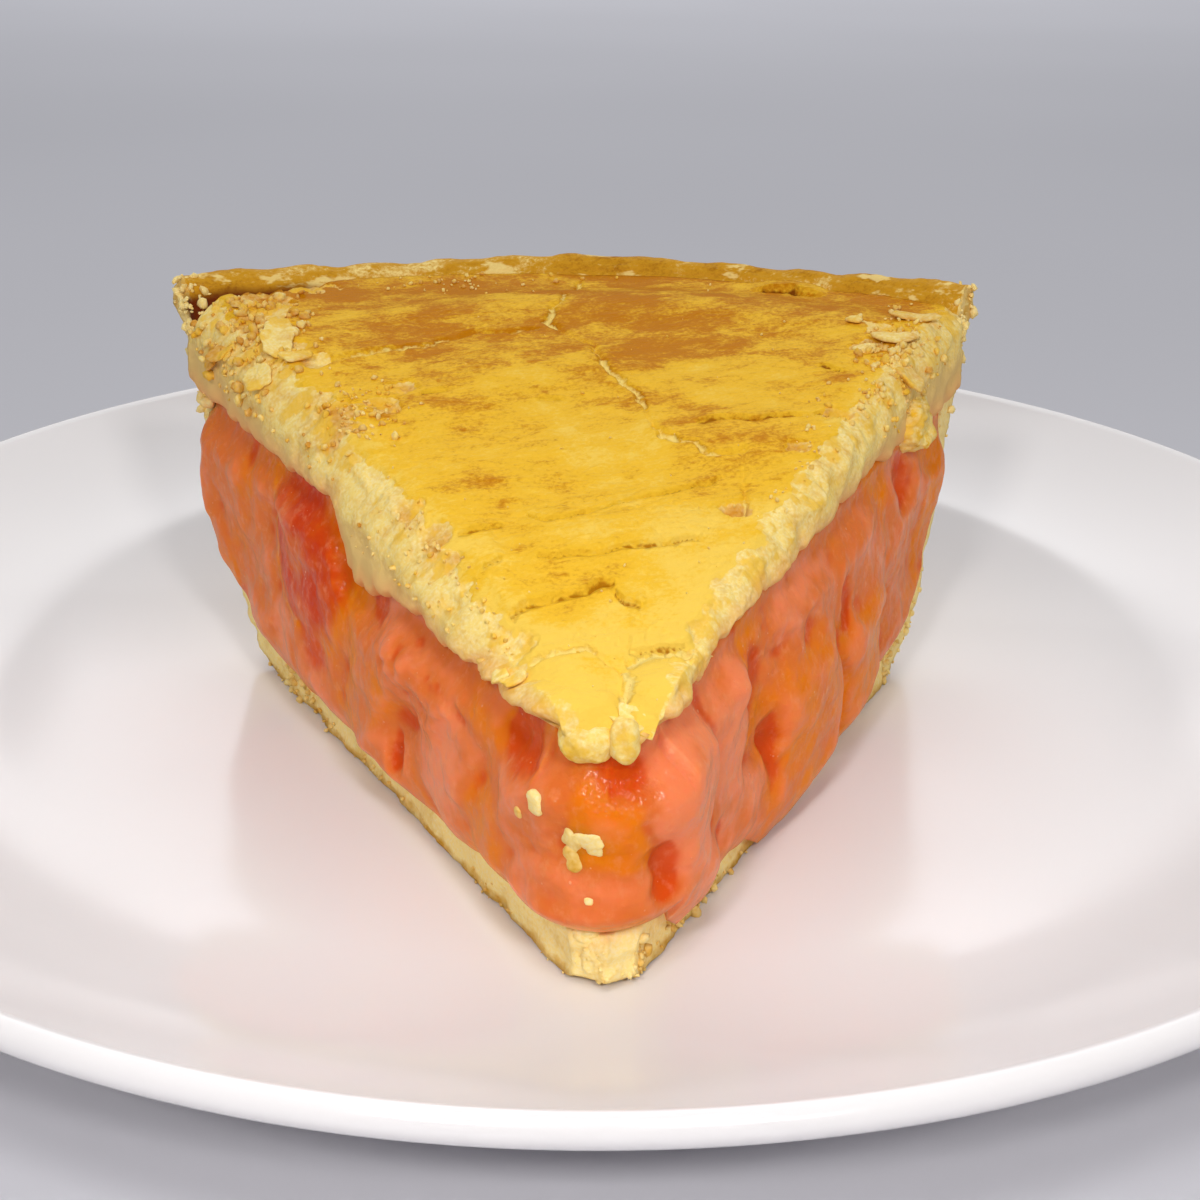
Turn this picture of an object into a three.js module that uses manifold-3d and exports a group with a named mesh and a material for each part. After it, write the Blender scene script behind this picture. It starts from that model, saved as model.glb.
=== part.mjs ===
// Pear pie: one slice of a deep double-crust pie on a plain round plate.
// Millimetres, +Z up. The origin is the plate's bottom centre. The slice's point faces -Y.

import * as THREE from 'three';
import Module from 'manifold-3d';

const wasm = await Module();
wasm.setup();

const rad = THREE.MathUtils.degToRad;
const { lerp, clamp, smoothstep } = THREE.MathUtils;

// ---------- Sizes ----------

const GAP = 0.3; // clear space between pieces that touch

const PLATE = {
  radius: 125,
  height: 21,
  wellTop: 9, // upper face of the flat middle
  wellRadius: 86, // where the flat middle ends and the side begins to rise
  footInner: 66,
  footOuter: 73,
  footDepth: 3,
  sideWall: 5,
  lipWall: 3.4,
  lipRound: 1.9,
  segments: 64,
  sideSteps: 6,
};

// The slice has its own frame: the point where its two cuts meet is (0, 0), and its middle runs along +Y.
const SLICE = {
  apexX: 2.7,
  apexY: -94.4,
  turn: rad(2.1),
  half: rad(29.2), // half the angle between the two cuts
  skew: 0.025, // the left cut is this share longer and the right one shorter, as the cuts missed the pie's middle
};

const CRUST = {
  tip: 7, // how far the bottom crust's broken point stands behind the apex
  base: 5.2, // thickness under the filling
  wall: 5.8, // thickness of the side
  tipSwell: 2.4, // the base is thicker at the point, for the first third of the floor
  floorEnd: 90,
  rimThickness: 6.4,
  crimps: 11,
  crimpUp: 0.9,
  crimpOut: 1.3,
  crimpFrom: 0.72, // share of the side's height at which the crimping starts
  rimWarp: 0.7, // slow rise and fall along the rim
  nose: 2, // the broken point bulges forward in its middle
  cutRoughness: 0.45,
};

// Middle line of the crust's side, as [distance from the apex, height]: floor, bend, side and flared rim.
const CRUST_SIDE = [
  [CRUST.floorEnd, CRUST.base / 2],
  [98, 5.2],
  [104, 13],
  [109.3, 27],
  [112.6, 39],
  [116.4, 47.6],
  [121, 54],
];

const LID = {
  tip: 5,
  tipTop: 31.2, // height of the skin at the point
  rise: 0.203, // the skin climbs this much for each millimetre towards the rim
  dome: 1.5, // the middle stands this much above the two cut edges
  valley: 2.3, // the skin dips this much where it meets the rim
  valleyFrom: 94,
  valleyTo: 112,
  underTip: 28.6, // height of the underside from the point to the first step
  underBack: 37.2,
  underFrom: 46,
  underTo: 76,
  backGap: 0.5,
  splitGap: 2.2, // the skin has come away from the rim at the left corner
  cutRoughness: 0.55,
  ripple: 0.55,
};

const FILLING = {
  tip: 8.5,
  bulge: 1.2, // how far the soft filling stands out past the cuts between the chunks
};

// Cracks in the skin. Each is a line of [distance from the apex, side: -1 left cut to 1 right cut].
const CRACK = { width: 1.5, depth: 1.9, above: 4 };
const CRACKS = {
  main: [[111, -0.1], [102, -0.17], [93, -0.03], [83, 0.05], [74, 0.1], [69, 0.26], [65, 0.34], [57, 0.44]],
  branch: [[69, 0.26], [70, 0.42], [71, 0.62], [72, 0.8]],
  flakeEdge: [[39, -0.62], [41, -0.3], [40, 0.02], [43, 0.3], [44, 0.62]],
  nearTip: [[30, -0.66], [31, -0.3], [29, 0], [26, 0.3], [27, 0.66]],
  tipSplit: [[19, -0.12], [14, -0.06], [8, 0.1]],
};

// Lumps of baked dough on the lid, as distance from the apex, side, height, and three half sizes.
const DOUGH_LUMPS = {
  curl: { from: 5.2, side: 0.6, z: 30.4, size: [2.5, 2.8, 2.6] },
  leftFlake: { from: 11.5, side: -0.5, z: 31, size: [5, 4.8, 2.9] },
  rightFlake: { from: 14.5, side: 0.7, z: 31.4, size: [4.2, 5.2, 2.9] },
  cornerLump: { from: 92, side: 0.97, z: 40, size: [5, 4.6, 4] },
};

const LUMP_SQUARENESS = 2.8;

// Pear chunks that show on the two cuts: distance from the apex along the cut, height, distance of the
// centre inside the cut (all mm), half length, half height, half depth, and lean in degrees.
const LEFT_CHUNKS = [
  { along: 101, z: 26, inside: 3.4, length: 10, height: 11.5, depth: 5.2, lean: 8 },
  { along: 79, z: 25, inside: 3.2, length: 13.5, height: 13.5, depth: 5.6, lean: -14 },
  { along: 83, z: 12, inside: 3.2, length: 12, height: 6, depth: 5.4, lean: 2 },
  { along: 56, z: 20, inside: 3, length: 10, height: 12.5, depth: 5.8, lean: 16 },
  { along: 47, z: 9.5, inside: 2, length: 9.5, height: 6.6, depth: 5.6, lean: -6 },
  { along: 40, z: 24.5, inside: 2.8, length: 9.5, height: 5.5, depth: 5.4, lean: 5 },
  { along: 31, z: 14, inside: 2.4, length: 7.5, height: 9.5, depth: 5.6, lean: 10 },
  { along: 11, z: 13.5, inside: 1.6, length: 9, height: 8, depth: 5.4, lean: 6 },
];
const RIGHT_CHUNKS = [
  { along: 14, z: 20, inside: 2, length: 4.8, height: 9.6, depth: 5.2, lean: -8 },
  { along: 15, z: 8.2, inside: 1.4, length: 8.5, height: 5, depth: 5, lean: 10 },
  { along: 28, z: 18.5, inside: 2.4, length: 4.8, height: 10.5, depth: 5.4, lean: -8 },
  { along: 32, z: 7.4, inside: 1.4, length: 6, height: 5.4, depth: 5.2, lean: 0 },
  { along: 49, z: 12, inside: 0.9, length: 10.5, height: 10.8, depth: 5.4, lean: -14 },
  { along: 46, z: 26, inside: 3, length: 12, height: 6, depth: 5.4, lean: 10 },
  { along: 68, z: 18.5, inside: 2.2, length: 7.6, height: 11.5, depth: 5.4, lean: -6 },
  { along: 84, z: 26, inside: 3, length: 9, height: 8, depth: 5, lean: 16 },
  { along: 86, z: 13, inside: 3, length: 8.5, height: 6.4, depth: 4.9, lean: 0 },
];
const CHUNK = { squareness: 3.6, detail: 2, wobble: 0.07 };

const COLOURS = {
  glaze: 0xf1efec,
  crust: 0xd9a94e,
  pear: 0xe8806a,
  skin: 0xe3ac35,
};

// ---------- Shape helpers ----------

// A closed shell laid over the outside of a block of across x along x up cells.
// place(u, v, w) gives the point for three shares from 0 to 1.
function shell(across, along, up, place) {
  const index = new Map();
  const positions = [];
  const faces = [];
  const corner = (i, j, k) => {
    const key = (i * (along + 1) + j) * (up + 1) + k;
    if (!index.has(key)) {
      index.set(key, positions.length / 3);
      positions.push(...place(i / across, j / along, k / up).toArray());
    }
    return index.get(key);
  };
  const quad = (a, b, c, d) => faces.push(a, b, c, a, c, d);
  for (let i = 0; i < across; i++) {
    for (let j = 0; j < along; j++) {
      quad(corner(i, j, 0), corner(i, j + 1, 0), corner(i + 1, j + 1, 0), corner(i + 1, j, 0));
      quad(corner(i, j, up), corner(i + 1, j, up), corner(i + 1, j + 1, up), corner(i, j + 1, up));
    }
    for (let k = 0; k < up; k++) {
      quad(corner(i, 0, k), corner(i + 1, 0, k), corner(i + 1, 0, k + 1), corner(i, 0, k + 1));
      quad(corner(i, along, k), corner(i, along, k + 1), corner(i + 1, along, k + 1), corner(i + 1, along, k));
    }
  }
  for (let j = 0; j < along; j++) {
    for (let k = 0; k < up; k++) {
      quad(corner(0, j, k), corner(0, j, k + 1), corner(0, j + 1, k + 1), corner(0, j + 1, k));
      quad(corner(across, j, k), corner(across, j + 1, k), corner(across, j + 1, k + 1), corner(across, j, k + 1));
    }
  }
  const geometry = new THREE.BufferGeometry();
  geometry.setAttribute('position', new THREE.Float32BufferAttribute(positions, 3));
  geometry.setIndex(faces);
  return geometry;
}

// A rounded lump: a ball pulled towards a box, with a slight seeded unevenness.
function lump(size, squareness, detail, seed) {
  const ball = weld(new THREE.IcosahedronGeometry(1, detail));
  const point = new THREE.Vector3();
  const place = ball.attributes.position;
  for (let i = 0; i < place.count; i++) {
    point.fromBufferAttribute(place, i).normalize();
    const parts = point.toArray().map((x) => Math.abs(x) ** squareness);
    const reach = (parts[0] + parts[1] + parts[2]) ** (-1 / squareness);
    const uneven = 1 + CHUNK.wobble * waves(point.x * 2.1 + seed, point.y * 2.3 - seed, point.z * 1.9);
    point.multiplyScalar(reach * uneven);
    place.setXYZ(i, point.x * size[0], point.y * size[1], point.z * size[2]);
  }
  return ball;
}

// Smooth unevenness between about -1 and 1, the same on every run.
function waves(x, y, z = 0) {
  return (
    (Math.sin(1.7 * x + 0.6 * y + 0.3 * z + 1.3) +
      Math.sin(-0.9 * x + 2.1 * y - 0.8 * z + 4.1) +
      Math.sin(2.9 * x - 1.3 * y + 1.9 * z + 2.2)) /
    2.4
  );
}

// Vertices at the same place become one, so that the surface is closed.
function weld(geometry) {
  const seen = new Map();
  const positions = [];
  const source = geometry.attributes.position;
  const order = geometry.index ? [...geometry.index.array] : [...Array(source.count).keys()];
  const faces = order.map((i) => {
    const spot = [source.getX(i), source.getY(i), source.getZ(i)];
    const key = spot.map((x) => Math.round(x * 1e4)).join();
    if (!seen.has(key)) {
      seen.set(key, positions.length / 3);
      positions.push(...spot);
    }
    return seen.get(key);
  });
  const kept = [];
  for (let i = 0; i < faces.length; i += 3) {
    const [a, b, c] = faces.slice(i, i + 3);
    if (a !== b && b !== c && c !== a) kept.push(a, b, c);
  }
  const welded = new THREE.BufferGeometry();
  welded.setAttribute('position', new THREE.Float32BufferAttribute(positions, 3));
  welded.setIndex(kept);
  return welded;
}

function toSolid(geometry) {
  const vertProperties = new Float32Array(geometry.attributes.position.array);
  const triVerts = new Uint32Array(geometry.index.array);
  return new wasm.Manifold(new wasm.Mesh({ numProp: 3, vertProperties, triVerts }));
}

function toGeometry(solid) {
  const mesh = solid.getMesh();
  const geometry = new THREE.BufferGeometry();
  geometry.setAttribute('position', new THREE.Float32BufferAttribute([...mesh.vertProperties], 3));
  geometry.setIndex([...mesh.triVerts]);
  return geometry;
}

// A value between two others, with a soft start and end.
const blend = (x, from, to, low, high) => lerp(low, high, smoothstep(x, from, to));

// Direction along a cut, and the one that points out of it, in the slice's frame. side is -1 or 1.
const alongCut = (side) => new THREE.Vector3(side * Math.sin(SLICE.half), Math.cos(SLICE.half), 0);
const outOfCut = (side) => new THREE.Vector3(side * Math.cos(SLICE.half), -Math.sin(SLICE.half), 0);

// A point of the slice: distance from the apex, side from -1 to 1, height, and a step out of the cuts.
// The step points straight out of each cut and turns round the point between them.
function slicePoint(from, side, z, outwards = 0) {
  const angle = side * SLICE.half;
  const turned = side * (Math.PI / 2 - SLICE.half);
  const reach = from * (1 - SLICE.skew * side);
  const x = reach * Math.sin(angle) + outwards * Math.sin(turned);
  const y = reach * Math.cos(angle) - outwards * Math.cos(turned);
  return new THREE.Vector3(x, y, z);
}

// ---------- Plate ----------

function plate() {
  const { radius, height, wellTop, wellRadius, sideWall, lipWall, lipRound } = PLATE;
  const { footInner, footOuter, footDepth } = PLATE;
  const rise = height - wellTop;
  const upperSide = (share) => {
    const out = lerp(wellRadius, radius - lipRound, share);
    return new THREE.Vector2(out, wellTop + rise * share ** 2.1);
  };
  const outline = [
    new THREE.Vector2(0, footDepth),
    new THREE.Vector2(footInner - footDepth / 2, footDepth),
    new THREE.Vector2(footInner, 0),
    new THREE.Vector2(footOuter, 0),
    new THREE.Vector2(footOuter + footDepth / 2, footDepth),
  ];
  for (let i = 1; i <= PLATE.sideSteps; i++) {
    const share = i / PLATE.sideSteps;
    const up = upperSide(share);
    const out = lerp(footOuter + 8, radius - 2.5, share);
    outline.push(new THREE.Vector2(out, Math.max(footDepth, up.y - lerp(sideWall, lipWall, share))));
  }
  const lipSteps = 3;
  for (let i = 1; i <= lipSteps; i++) {
    const angle = lerp(-Math.PI / 4, Math.PI / 2, i / lipSteps);
    const out = radius - lipRound + lipRound * Math.cos(angle);
    outline.push(new THREE.Vector2(out, height - lipRound + lipRound * Math.sin(angle)));
  }
  for (let i = PLATE.sideSteps - 1; i >= 0; i--) outline.push(upperSide(i / PLATE.sideSteps));
  outline.push(new THREE.Vector2(0, wellTop));
  const turned = new THREE.LatheGeometry(outline, PLATE.segments);
  turned.rotateX(Math.PI / 2);
  return weld(turned);
}

// ---------- Bottom crust ----------

const side = new THREE.SplineCurve(CRUST_SIDE.map(([from, z]) => new THREE.Vector2(from, z)));
const FLOOR_STEPS = 3;
const SIDE_STEPS = 10;
const FLOOR_SHARE = FLOOR_STEPS / (FLOOR_STEPS + SIDE_STEPS);

function floorThickness(from) {
  const share = (from - CRUST.tip) / (CRUST.floorEnd - CRUST.tip);
  return CRUST.base + CRUST.tipSwell * clamp(1 - FLOOR_STEPS * share, 0, 1);
}

// Middle line, direction and thickness of the crust, from the point along the floor and up the side.
function crustStation(v) {
  if (v <= FLOOR_SHARE) {
    const from = lerp(CRUST.tip, CRUST.floorEnd, v / FLOOR_SHARE);
    const thickness = floorThickness(from);
    return { from, z: thickness / 2, lean: 0, thickness, rise: 0 };
  }
  const rise = (v - FLOOR_SHARE) / (1 - FLOOR_SHARE);
  const spot = side.getPoint(rise);
  const ahead = side.getTangent(rise);
  const wall = blend(rise, 0, 0.3, CRUST.base, CRUST.wall);
  const full = blend(rise, 0.7, 0.95, wall, CRUST.rimThickness);
  const roundOff = Math.sqrt(Math.max(0.16, 1 - (clamp(rise - 0.9, 0, 0.1) / 0.1) ** 2));
  return { from: spot.x, z: spot.y, lean: Math.atan2(ahead.y, ahead.x), thickness: full * roundOff, rise };
}

// The crust's outer face (w = 0) and inner face (w = 1).
function crustFace(v, w) {
  const { from, z, lean, thickness, rise } = crustStation(v);
  const shift = (w - 0.5) * thickness;
  return { from: from - shift * Math.sin(lean), z: z + shift * Math.cos(lean), rise };
}

function crustPoint(u, v, w) {
  const across = lerp(-1, 1, u);
  const face = crustFace(v, w);
  const outer = 1 - w;
  const crimp = outer * smoothstep(face.rise, CRUST.crimpFrom, 1) * Math.cos(across * CRUST.crimps * Math.PI);
  const warp = outer * CRUST.rimWarp * smoothstep(face.rise, 0.5, 1) * waves(across * 2.2, 0.4);
  const rough = Math.abs(across) === 1 ? CRUST.cutRoughness * waves(face.from * 0.31, face.z * 0.5, across) : 0;
  const nose = CRUST.nose * (1 - across ** 2) * (1 - smoothstep(v, 0, 0.05));
  const from = face.from + CRUST.crimpOut * crimp - nose;
  return slicePoint(from, across, face.z + CRUST.crimpUp * crimp + warp, rough);
}

// The side's inner face as a line, read either way: its distance from the apex at a height, or its
// height at a distance.
const innerLine = Array.from({ length: SIDE_STEPS + 1 }, (_, i) => crustFace(lerp(FLOOR_SHARE, 1, i / SIDE_STEPS), 1));
function readInnerLine(known, wanted, value) {
  const next = innerLine.findIndex((spot) => spot[known] >= value);
  if (next < 0) return innerLine[innerLine.length - 1][wanted];
  if (next === 0) return innerLine[0][wanted];
  const [a, b] = [innerLine[next - 1], innerLine[next]];
  return lerp(a[wanted], b[wanted], (value - a[known]) / (b[known] - a[known]));
}
const innerRadius = (z) => readInnerLine('z', 'from', z);

// Height of the bottom crust's upper face, along the floor and up the bend.
function crustTop(from) {
  if (from > CRUST.floorEnd) return readInnerLine('from', 'z', from);
  return floorThickness(from);
}

// ---------- Top crust ----------

const lidUnderside = (from) => blend(from, LID.underFrom, LID.underTo, LID.underTip, LID.underBack);

function lidSkin(from, across) {
  const valley = smoothstep(from, LID.valleyFrom, LID.valleyTo);
  const dome = LID.dome * (1 - across ** 2) * smoothstep(from, 8, 60) * (1 - 0.7 * valley);
  const ripple = LID.ripple * waves(from * 0.11, across * 1.9);
  return LID.tipTop + LID.rise * from + dome + ripple - LID.valley * valley;
}

function lidPoint(u, v, w) {
  const across = lerp(-1, 1, u);
  const nominal = lerp(LID.tip, innerRadius(48), v);
  const z = lerp(lidUnderside(nominal), lidSkin(nominal, across), w);
  const split = LID.splitGap * w * smoothstep(-across, 0.35, 0.9);
  const back = innerRadius(z) - LID.backGap - split;
  const nose = LID.tip + 1.2 * across ** 2;
  const rough = Math.abs(across) === 1 ? LID.cutRoughness * waves(nominal * 0.37, z * 0.6, across * 3) : 0;
  return slicePoint(lerp(nose, back, v), across, z, rough);
}

// A crack's cutter: a blade that is widest above the skin and ends in a point at both ends.
function crackBlade(line) {
  const route = new THREE.CatmullRomCurve3(line.map(([from, across]) => slicePoint(from, across, 0)));
  const steps = line.length * 2;
  const positions = [];
  for (let i = 0; i <= steps; i++) {
    const spot = route.getPoint(i / steps);
    const ahead = route.getTangent(i / steps);
    const from = Math.hypot(spot.x, spot.y);
    const across = Math.atan2(spot.x, spot.y) / SLICE.half;
    const fade = Math.max(0.12, Math.sin((Math.PI * i) / steps) ** 0.5);
    const bottom = lidSkin(from, across) - CRACK.depth * fade;
    const topWidth = (CRACK.width * fade * (CRACK.depth + CRACK.above)) / CRACK.depth / 2;
    const sideways = new THREE.Vector3(-ahead.y, ahead.x, 0).multiplyScalar(topWidth);
    const top = bottom + CRACK.depth + CRACK.above;
    positions.push(spot.x, spot.y, bottom);
    positions.push(spot.x + sideways.x, spot.y + sideways.y, top);
    positions.push(spot.x - sideways.x, spot.y - sideways.y, top);
  }
  const faces = [0, 2, 1];
  for (let i = 0; i < steps; i++) {
    const [a, b, c, d, e, f] = [0, 1, 2, 3, 4, 5].map((k) => i * 3 + k);
    faces.push(a, e, d, a, b, e, b, f, e, b, c, f, c, d, f, c, a, d);
  }
  const last = steps * 3;
  faces.push(last, last + 1, last + 2);
  const blade = new THREE.BufferGeometry();
  blade.setAttribute('position', new THREE.Float32BufferAttribute(positions, 3));
  blade.setIndex(faces);
  return blade;
}

function doughLumps(grow) {
  return Object.values(DOUGH_LUMPS).map(({ from, side: across, z, size }, i) => {
    const blob = lump(size.map((half) => half + grow), LUMP_SQUARENESS, 2, i);
    blob.translate(...slicePoint(from, across, z).toArray());
    return toSolid(blob);
  });
}

function topCrust() {
  let lid = toSolid(shell(16, 28, 3, lidPoint));
  for (const dough of doughLumps(0)) lid = lid.add(dough);
  for (const line of Object.values(CRACKS)) lid = lid.subtract(toSolid(crackBlade(line)));
  return toGeometry(lid);
}

// ---------- Filling ----------

function fillingPoint(u, v, w) {
  const across = lerp(-1, 1, u);
  const nominal = lerp(FILLING.tip, innerRadius(20), v);
  const z = lerp(crustTop(nominal) + GAP, lidUnderside(nominal) - GAP, w);
  const edge = Math.sin(Math.PI * w) ** 0.5;
  const swell = FILLING.bulge * edge * (0.6 + 0.5 * waves(nominal * 0.16, z * 0.2, across * 2));
  return slicePoint(lerp(FILLING.tip, innerRadius(z) - GAP - 0.1, v), across, z, swell);
}

function chunkSolid({ along, z, inside, length, height, depth, lean }, cut, seed) {
  const shape = lump([length, depth, height], CHUNK.squareness, CHUNK.detail, seed);
  shape.rotateY(rad(lean));
  const outward = outOfCut(cut);
  const upright = new THREE.Vector3(0, 0, 1);
  const turn = new THREE.Matrix4().makeBasis(alongCut(cut), outward.clone().multiplyScalar(-cut), upright);
  shape.applyMatrix4(turn);
  const centre = alongCut(cut).multiplyScalar(along).addScaledVector(outward, -inside);
  shape.translate(centre.x, centre.y, z);
  return toSolid(shape);
}

// The room that the crusts take, grown by the gap: the floor below, and the lid above.
function floorRoom(u, v, w) {
  const across = lerp(-1, 1, u);
  const nominal = lerp(CRUST.tip - CRUST.nose - 0.8, 118, v);
  return slicePoint(nominal, across, lerp(-5, crustTop(Math.max(nominal, CRUST.tip)) + GAP, w), 0.9);
}
function lidRoom(u, v, w) {
  const across = lerp(-1, 1, u);
  const nominal = lerp(LID.tip - 1, 118, v);
  return slicePoint(nominal, across, lerp(lidUnderside(nominal) - GAP, 70, w), 1.2);
}

function filling() {
  const chunks = [
    ...LEFT_CHUNKS.map((chunk, i) => chunkSolid(chunk, -1, i)),
    ...RIGHT_CHUNKS.map((chunk, i) => chunkSolid(chunk, 1, i + LEFT_CHUNKS.length)),
  ];
  const rooms = [shell(4, 18, 1, floorRoom), shell(4, 18, 1, lidRoom)].map(toSolid);
  let solid = toSolid(shell(4, 18, 5, fillingPoint));
  for (const chunk of chunks) solid = solid.add(chunk);
  for (const room of [...rooms, ...doughLumps(GAP)]) solid = solid.subtract(room);
  return toGeometry(solid);
}

// ---------- Assembly ----------

function named(name, geometry, colour, roughness) {
  const material = new THREE.MeshStandardMaterial({ color: colour, roughness, metalness: 0 });
  const mesh = new THREE.Mesh(geometry, material);
  mesh.name = name;
  return mesh;
}

const slice = new THREE.Group();
slice.position.set(SLICE.apexX, SLICE.apexY, PLATE.wellTop + GAP);
slice.rotation.z = SLICE.turn;
slice.add(
  named('bottom_crust', shell(44, FLOOR_STEPS + SIDE_STEPS, 2, crustPoint), COLOURS.crust, 0.7),
  named('filling', filling(), COLOURS.pear, 0.25),
  named('top_crust', topCrust(), COLOURS.skin, 0.6),
);

const pie = new THREE.Group();
pie.add(named('plate', plate(), COLOURS.glaze, 0.12), slice);

export default pie;
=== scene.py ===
"""Pear pie: one slice of a deep double-crust pie on a plain round plate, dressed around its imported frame.

The file is laid out as an add-on: settings, surfaces, materials, one operator for each piece, a panel, and
main(). Shapes are worked out in millimetres in the slice's own frame, whose origin is the point where the two
cuts meet and whose middle runs along +Y, and they are put into the meshes in metres in the frame of the part.
"""

import math
from types import SimpleNamespace

import bpy
import numpy as np
from bpy.props import FloatProperty, FloatVectorProperty, IntProperty, PointerProperty
from mathutils import Matrix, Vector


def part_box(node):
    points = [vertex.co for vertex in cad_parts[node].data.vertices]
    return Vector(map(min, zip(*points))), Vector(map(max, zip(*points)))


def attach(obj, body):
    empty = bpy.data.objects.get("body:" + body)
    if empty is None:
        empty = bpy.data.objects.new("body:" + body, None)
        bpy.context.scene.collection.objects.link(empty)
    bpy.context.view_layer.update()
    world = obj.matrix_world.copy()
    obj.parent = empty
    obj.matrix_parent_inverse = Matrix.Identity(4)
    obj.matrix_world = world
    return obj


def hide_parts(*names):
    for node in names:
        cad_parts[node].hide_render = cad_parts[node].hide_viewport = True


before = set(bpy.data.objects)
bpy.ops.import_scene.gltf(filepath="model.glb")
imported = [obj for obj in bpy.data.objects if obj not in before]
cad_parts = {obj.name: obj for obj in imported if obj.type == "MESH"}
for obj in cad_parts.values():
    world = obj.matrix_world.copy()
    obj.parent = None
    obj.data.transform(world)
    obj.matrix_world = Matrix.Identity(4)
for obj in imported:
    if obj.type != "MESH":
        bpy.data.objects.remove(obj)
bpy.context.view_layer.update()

bl_info = {
    "name": "Pear Pie Slice",
    "version": (1, 0, 0),
    "blender": (4, 5, 0),
    "location": "3D View > Sidebar > Pear Pie",
    "description": "Builds a slice of pear pie with crust, filling, crumbs and plate around its packed frame",
    "category": "Object",
}

MM = 0.001
GAP = 0.3  # clear space between pieces that touch, in millimetres
_, PLATE_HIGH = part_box("plate")
FAR = 6.0  # distance past which a crack or a slit no longer shows, in millimetres


# ---------- Settings ----------


def length(name, millimetres, description):
    return FloatProperty(name=name, description=description, default=millimetres * MM, unit="LENGTH")


def share(name, value, description):
    return FloatProperty(name=name, description=description, default=value, subtype="FACTOR")


def count(name, value, description):
    return IntProperty(name=name, description=description, default=value, min=1)


def turn(name, degrees, description):
    return FloatProperty(name=name, description=description, default=math.radians(degrees), subtype="ANGLE")


def colour(name, red, green, blue, description):
    """A colour given as it looks on a screen, from 0 to 255, and kept in linear light."""
    linear = [((c / 255 + 0.055) / 1.055) ** 2.4 for c in (red, green, blue)]
    kept = {"default": linear, "subtype": "COLOR", "min": 0, "max": 1}
    return FloatVectorProperty(name=name, description=description, **kept)


class PIE_PG_plate(bpy.types.PropertyGroup):
    """Sizes and glaze of the plate."""

    radius: length("Radius", PLATE_HIGH.x / MM, "Half of the plate's width")
    height: length("Height", PLATE_HIGH.z / MM, "Height of the lip")
    well_top: length("Well height", 9, "Height of the flat middle that the slice stands on")
    well_radius: length("Well radius", 86, "Where the flat middle ends and the side begins to rise")
    foot_inner: length("Foot, inside", 66, "Inner radius of the foot ring")
    foot_outer: length("Foot, outside", 73, "Outer radius of the foot ring")
    foot_depth: length("Foot depth", 3, "Height of the foot ring")
    side_wall: length("Side thickness", 5, "Thickness of the side at the well")
    lip_wall: length("Lip thickness", 3.4, "Thickness of the side at the lip")
    lip_round: length("Lip rounding", 1.9, "Radius of the lip's edge")
    glaze: colour("Glaze", 238, 234, 234, "Colour of the glaze")


class PIE_PG_slice(bpy.types.PropertyGroup):
    """Place and angle of the slice."""

    apex_x: length("Apex X", 2.7, "Place of the point where the two cuts meet")
    apex_y: length("Apex Y", -94.4, "Place of the point where the two cuts meet")
    turn: turn("Turn", 2.1, "How far the slice is turned on the plate")
    half: turn("Half angle", 29.2, "Half of the angle between the cuts")
    skew: share("Skew", 0.025, "The left cut is this share longer and the right one shorter")


class PIE_PG_case(bpy.types.PropertyGroup):
    """Sizes and bake of the bottom crust."""

    tip: length("Tip", 6.4, "How far the corners of the crust's broken point stand behind the apex")
    base: length("Base", 5.2, "Thickness under the filling")
    wall: length("Wall", 5.8, "Thickness of the side")
    tip_swell: length("Tip swell", 2.4, "How much thicker the base is at the point")
    floor_end: length("Floor end", 90, "Distance from the apex at which the side begins")
    rim_thickness: length("Rim", 6.4, "Thickness of the rim")
    crimps: count("Crimps", 11, "Pinched waves along the rim")
    crimp_up: length("Crimp height", 0.9, "How far the waves rise and fall")
    crimp_out: length("Crimp depth", 1.3, "How far the waves stand in and out")
    crimp_from: share("Crimp start", 0.72, "Share of the side's height at which the crimping starts")
    rim_warp: length("Rim warp", 0.7, "Slow rise and fall along the rim")
    nose: length("Nose", 2.6, "How far the broken point bulges forward in its middle")
    baked: colour("Baked", 212, 154, 36, "Colour of the baked outside")
    toasted: colour("Toasted", 164, 102, 14, "Colour of the darkest rim and the bottom edge")
    crumb: colour("Crumb", 255, 228, 146, "Colour of the pastry where it is cut")
    # Painted shade: dark colour for the side's inner face in the gap left by the top crust
    gap_shade: colour("Gap Shade", 104, 40, 8, "Inside of the side where the top crust has come away from it")


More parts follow.
